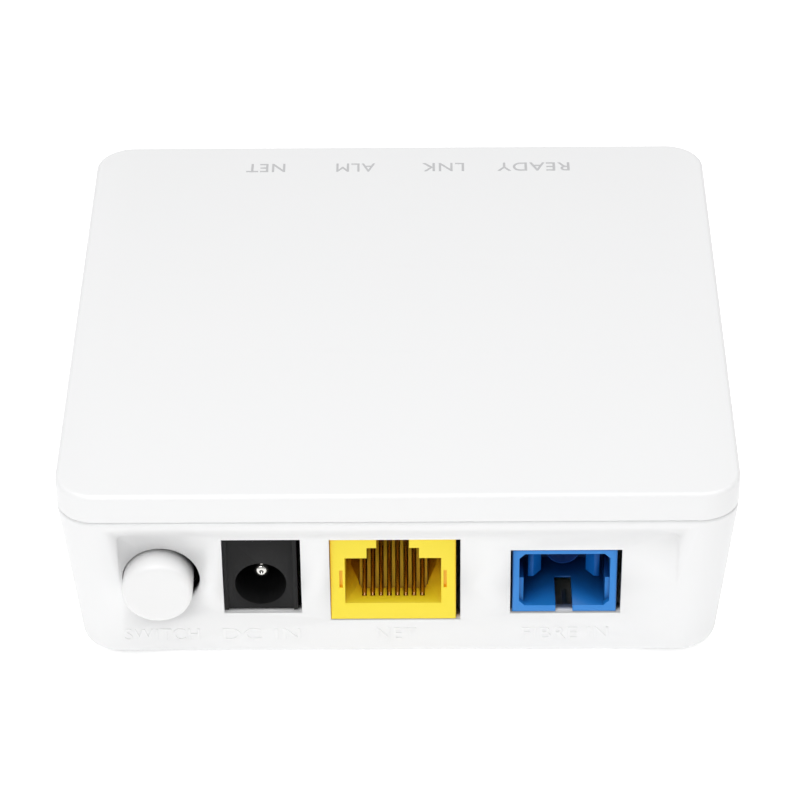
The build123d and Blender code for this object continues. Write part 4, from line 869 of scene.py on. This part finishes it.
# ---------------------------------------------------------------- floor, light and camera
SKY_STRENGTH = 0.39
GLOW_FOR_OBJECT, GLOW_FOR_CAMERA = 0.26, 0.50
FLOOR_DROP = 0.0001  # metres below the feet

world = bpy.data.worlds.new("studio")
bpy.context.scene.world = world
world.use_nodes = True
background = world.node_tree.nodes["Background"]
background.inputs["Color"].default_value = (1.0, 1.0, 1.0, 1.0)
background.inputs["Strength"].default_value = SKY_STRENGTH


def floor():
    """A large, pale, faintly uneven floor."""
    bm = bmesh.new()
    bmesh.ops.create_grid(bm, x_segments=8, y_segments=8, size=3.0)
    mesh = bpy.data.meshes.new("floor")
    bm.to_mesh(mesh)
    bm.free()
    look = Look("floor_white", rough=0.7)
    pale = look.ramp(look.noise(6.0, 3), [(0.3, (0.93, 0.93, 0.93)), (0.7, (0.955, 0.955, 0.955))])
    look.colour(pale)
    look.link(pale, look.bsdf.inputs["Emission Color"])
    # It glows a little more for the camera than for the object, which keeps the contact shadow faint
    path = look.tree.nodes.new("ShaderNodeLightPath")
    glow = look.span(path.outputs["Is Camera Ray"], GLOW_FOR_OBJECT, GLOW_FOR_CAMERA, 0.0, 1.0)
    look.link(glow, look.bsdf.inputs["Emission Strength"])
    look.bump(look.noise(900.0, 3), 0.05)
    # Seen from below, the floor is clear, so that the underside can be looked at
    clear = look.tree.nodes.new("ShaderNodeBsdfTransparent")
    sides = look.tree.nodes.new("ShaderNodeMixShader")
    geometry = look.tree.nodes.new("ShaderNodeNewGeometry")
    look.link(geometry.outputs["Backfacing"], sides.inputs["Fac"])
    look.link(look.bsdf.outputs["BSDF"], sides.inputs[1])
    look.link(clear.outputs["BSDF"], sides.inputs[2])
    look.link(sides.outputs["Shader"], look.tree.nodes["Material Output"].inputs["Surface"])
    mesh.materials.append(look.mat)
    obj = bpy.data.objects.new("floor", mesh)
    obj.location.z = -FLOOR_DROP
    bpy.context.scene.collection.objects.link(obj)


def softbox(name, place, aim, width, height, watts):
    """A rectangular area light aimed at a point."""
    light = bpy.data.lights.new(name, "AREA")
    light.shape = "RECTANGLE"
    light.size, light.size_y = width, height
    light.energy = watts
    obj = bpy.data.objects.new(name, light)
    obj.location = place
    obj.rotation_mode = "QUATERNION"
    obj.rotation_quaternion = (Vector(aim) - Vector(place)).to_track_quat("-Z", "Y")
    bpy.context.scene.collection.objects.link(obj)


floor()
softbox("top_box", (0.0, -0.05, 0.75), (0, 0, 0), 0.9, 0.6, 3.85)
softbox("front_box", (-0.16, -0.60, 0.52), (0, 0, 0.01), 0.32, 0.3, 1.28)

CAMERA_PLACE = Vector((3.765, -377.94, 284.47)) * MM
CAMERA_RIGHT = Vector((0.99996, 0.00353, -0.00871))
CAMERA_UP = Vector((0.00502, 0.58302, 0.81245))  # squared to the other axes below
camera = bpy.data.cameras.new("camera")
camera.sensor_width = 36.0
camera.lens = 159.8
camera.clip_start = 0.01
camera.clip_end = 10.0
eye = bpy.data.objects.new("camera", camera)
back = CAMERA_RIGHT.cross(CAMERA_UP).normalized()
up = back.cross(CAMERA_RIGHT).normalized()
turn = Matrix((CAMERA_RIGHT, up, back)).transposed().to_4x4()
eye.matrix_world = Matrix.Translation(CAMERA_PLACE) @ turn
bpy.context.scene.collection.objects.link(eye)
bpy.context.scene.camera = eye
bpy.context.scene.view_settings.view_transform = "Standard"
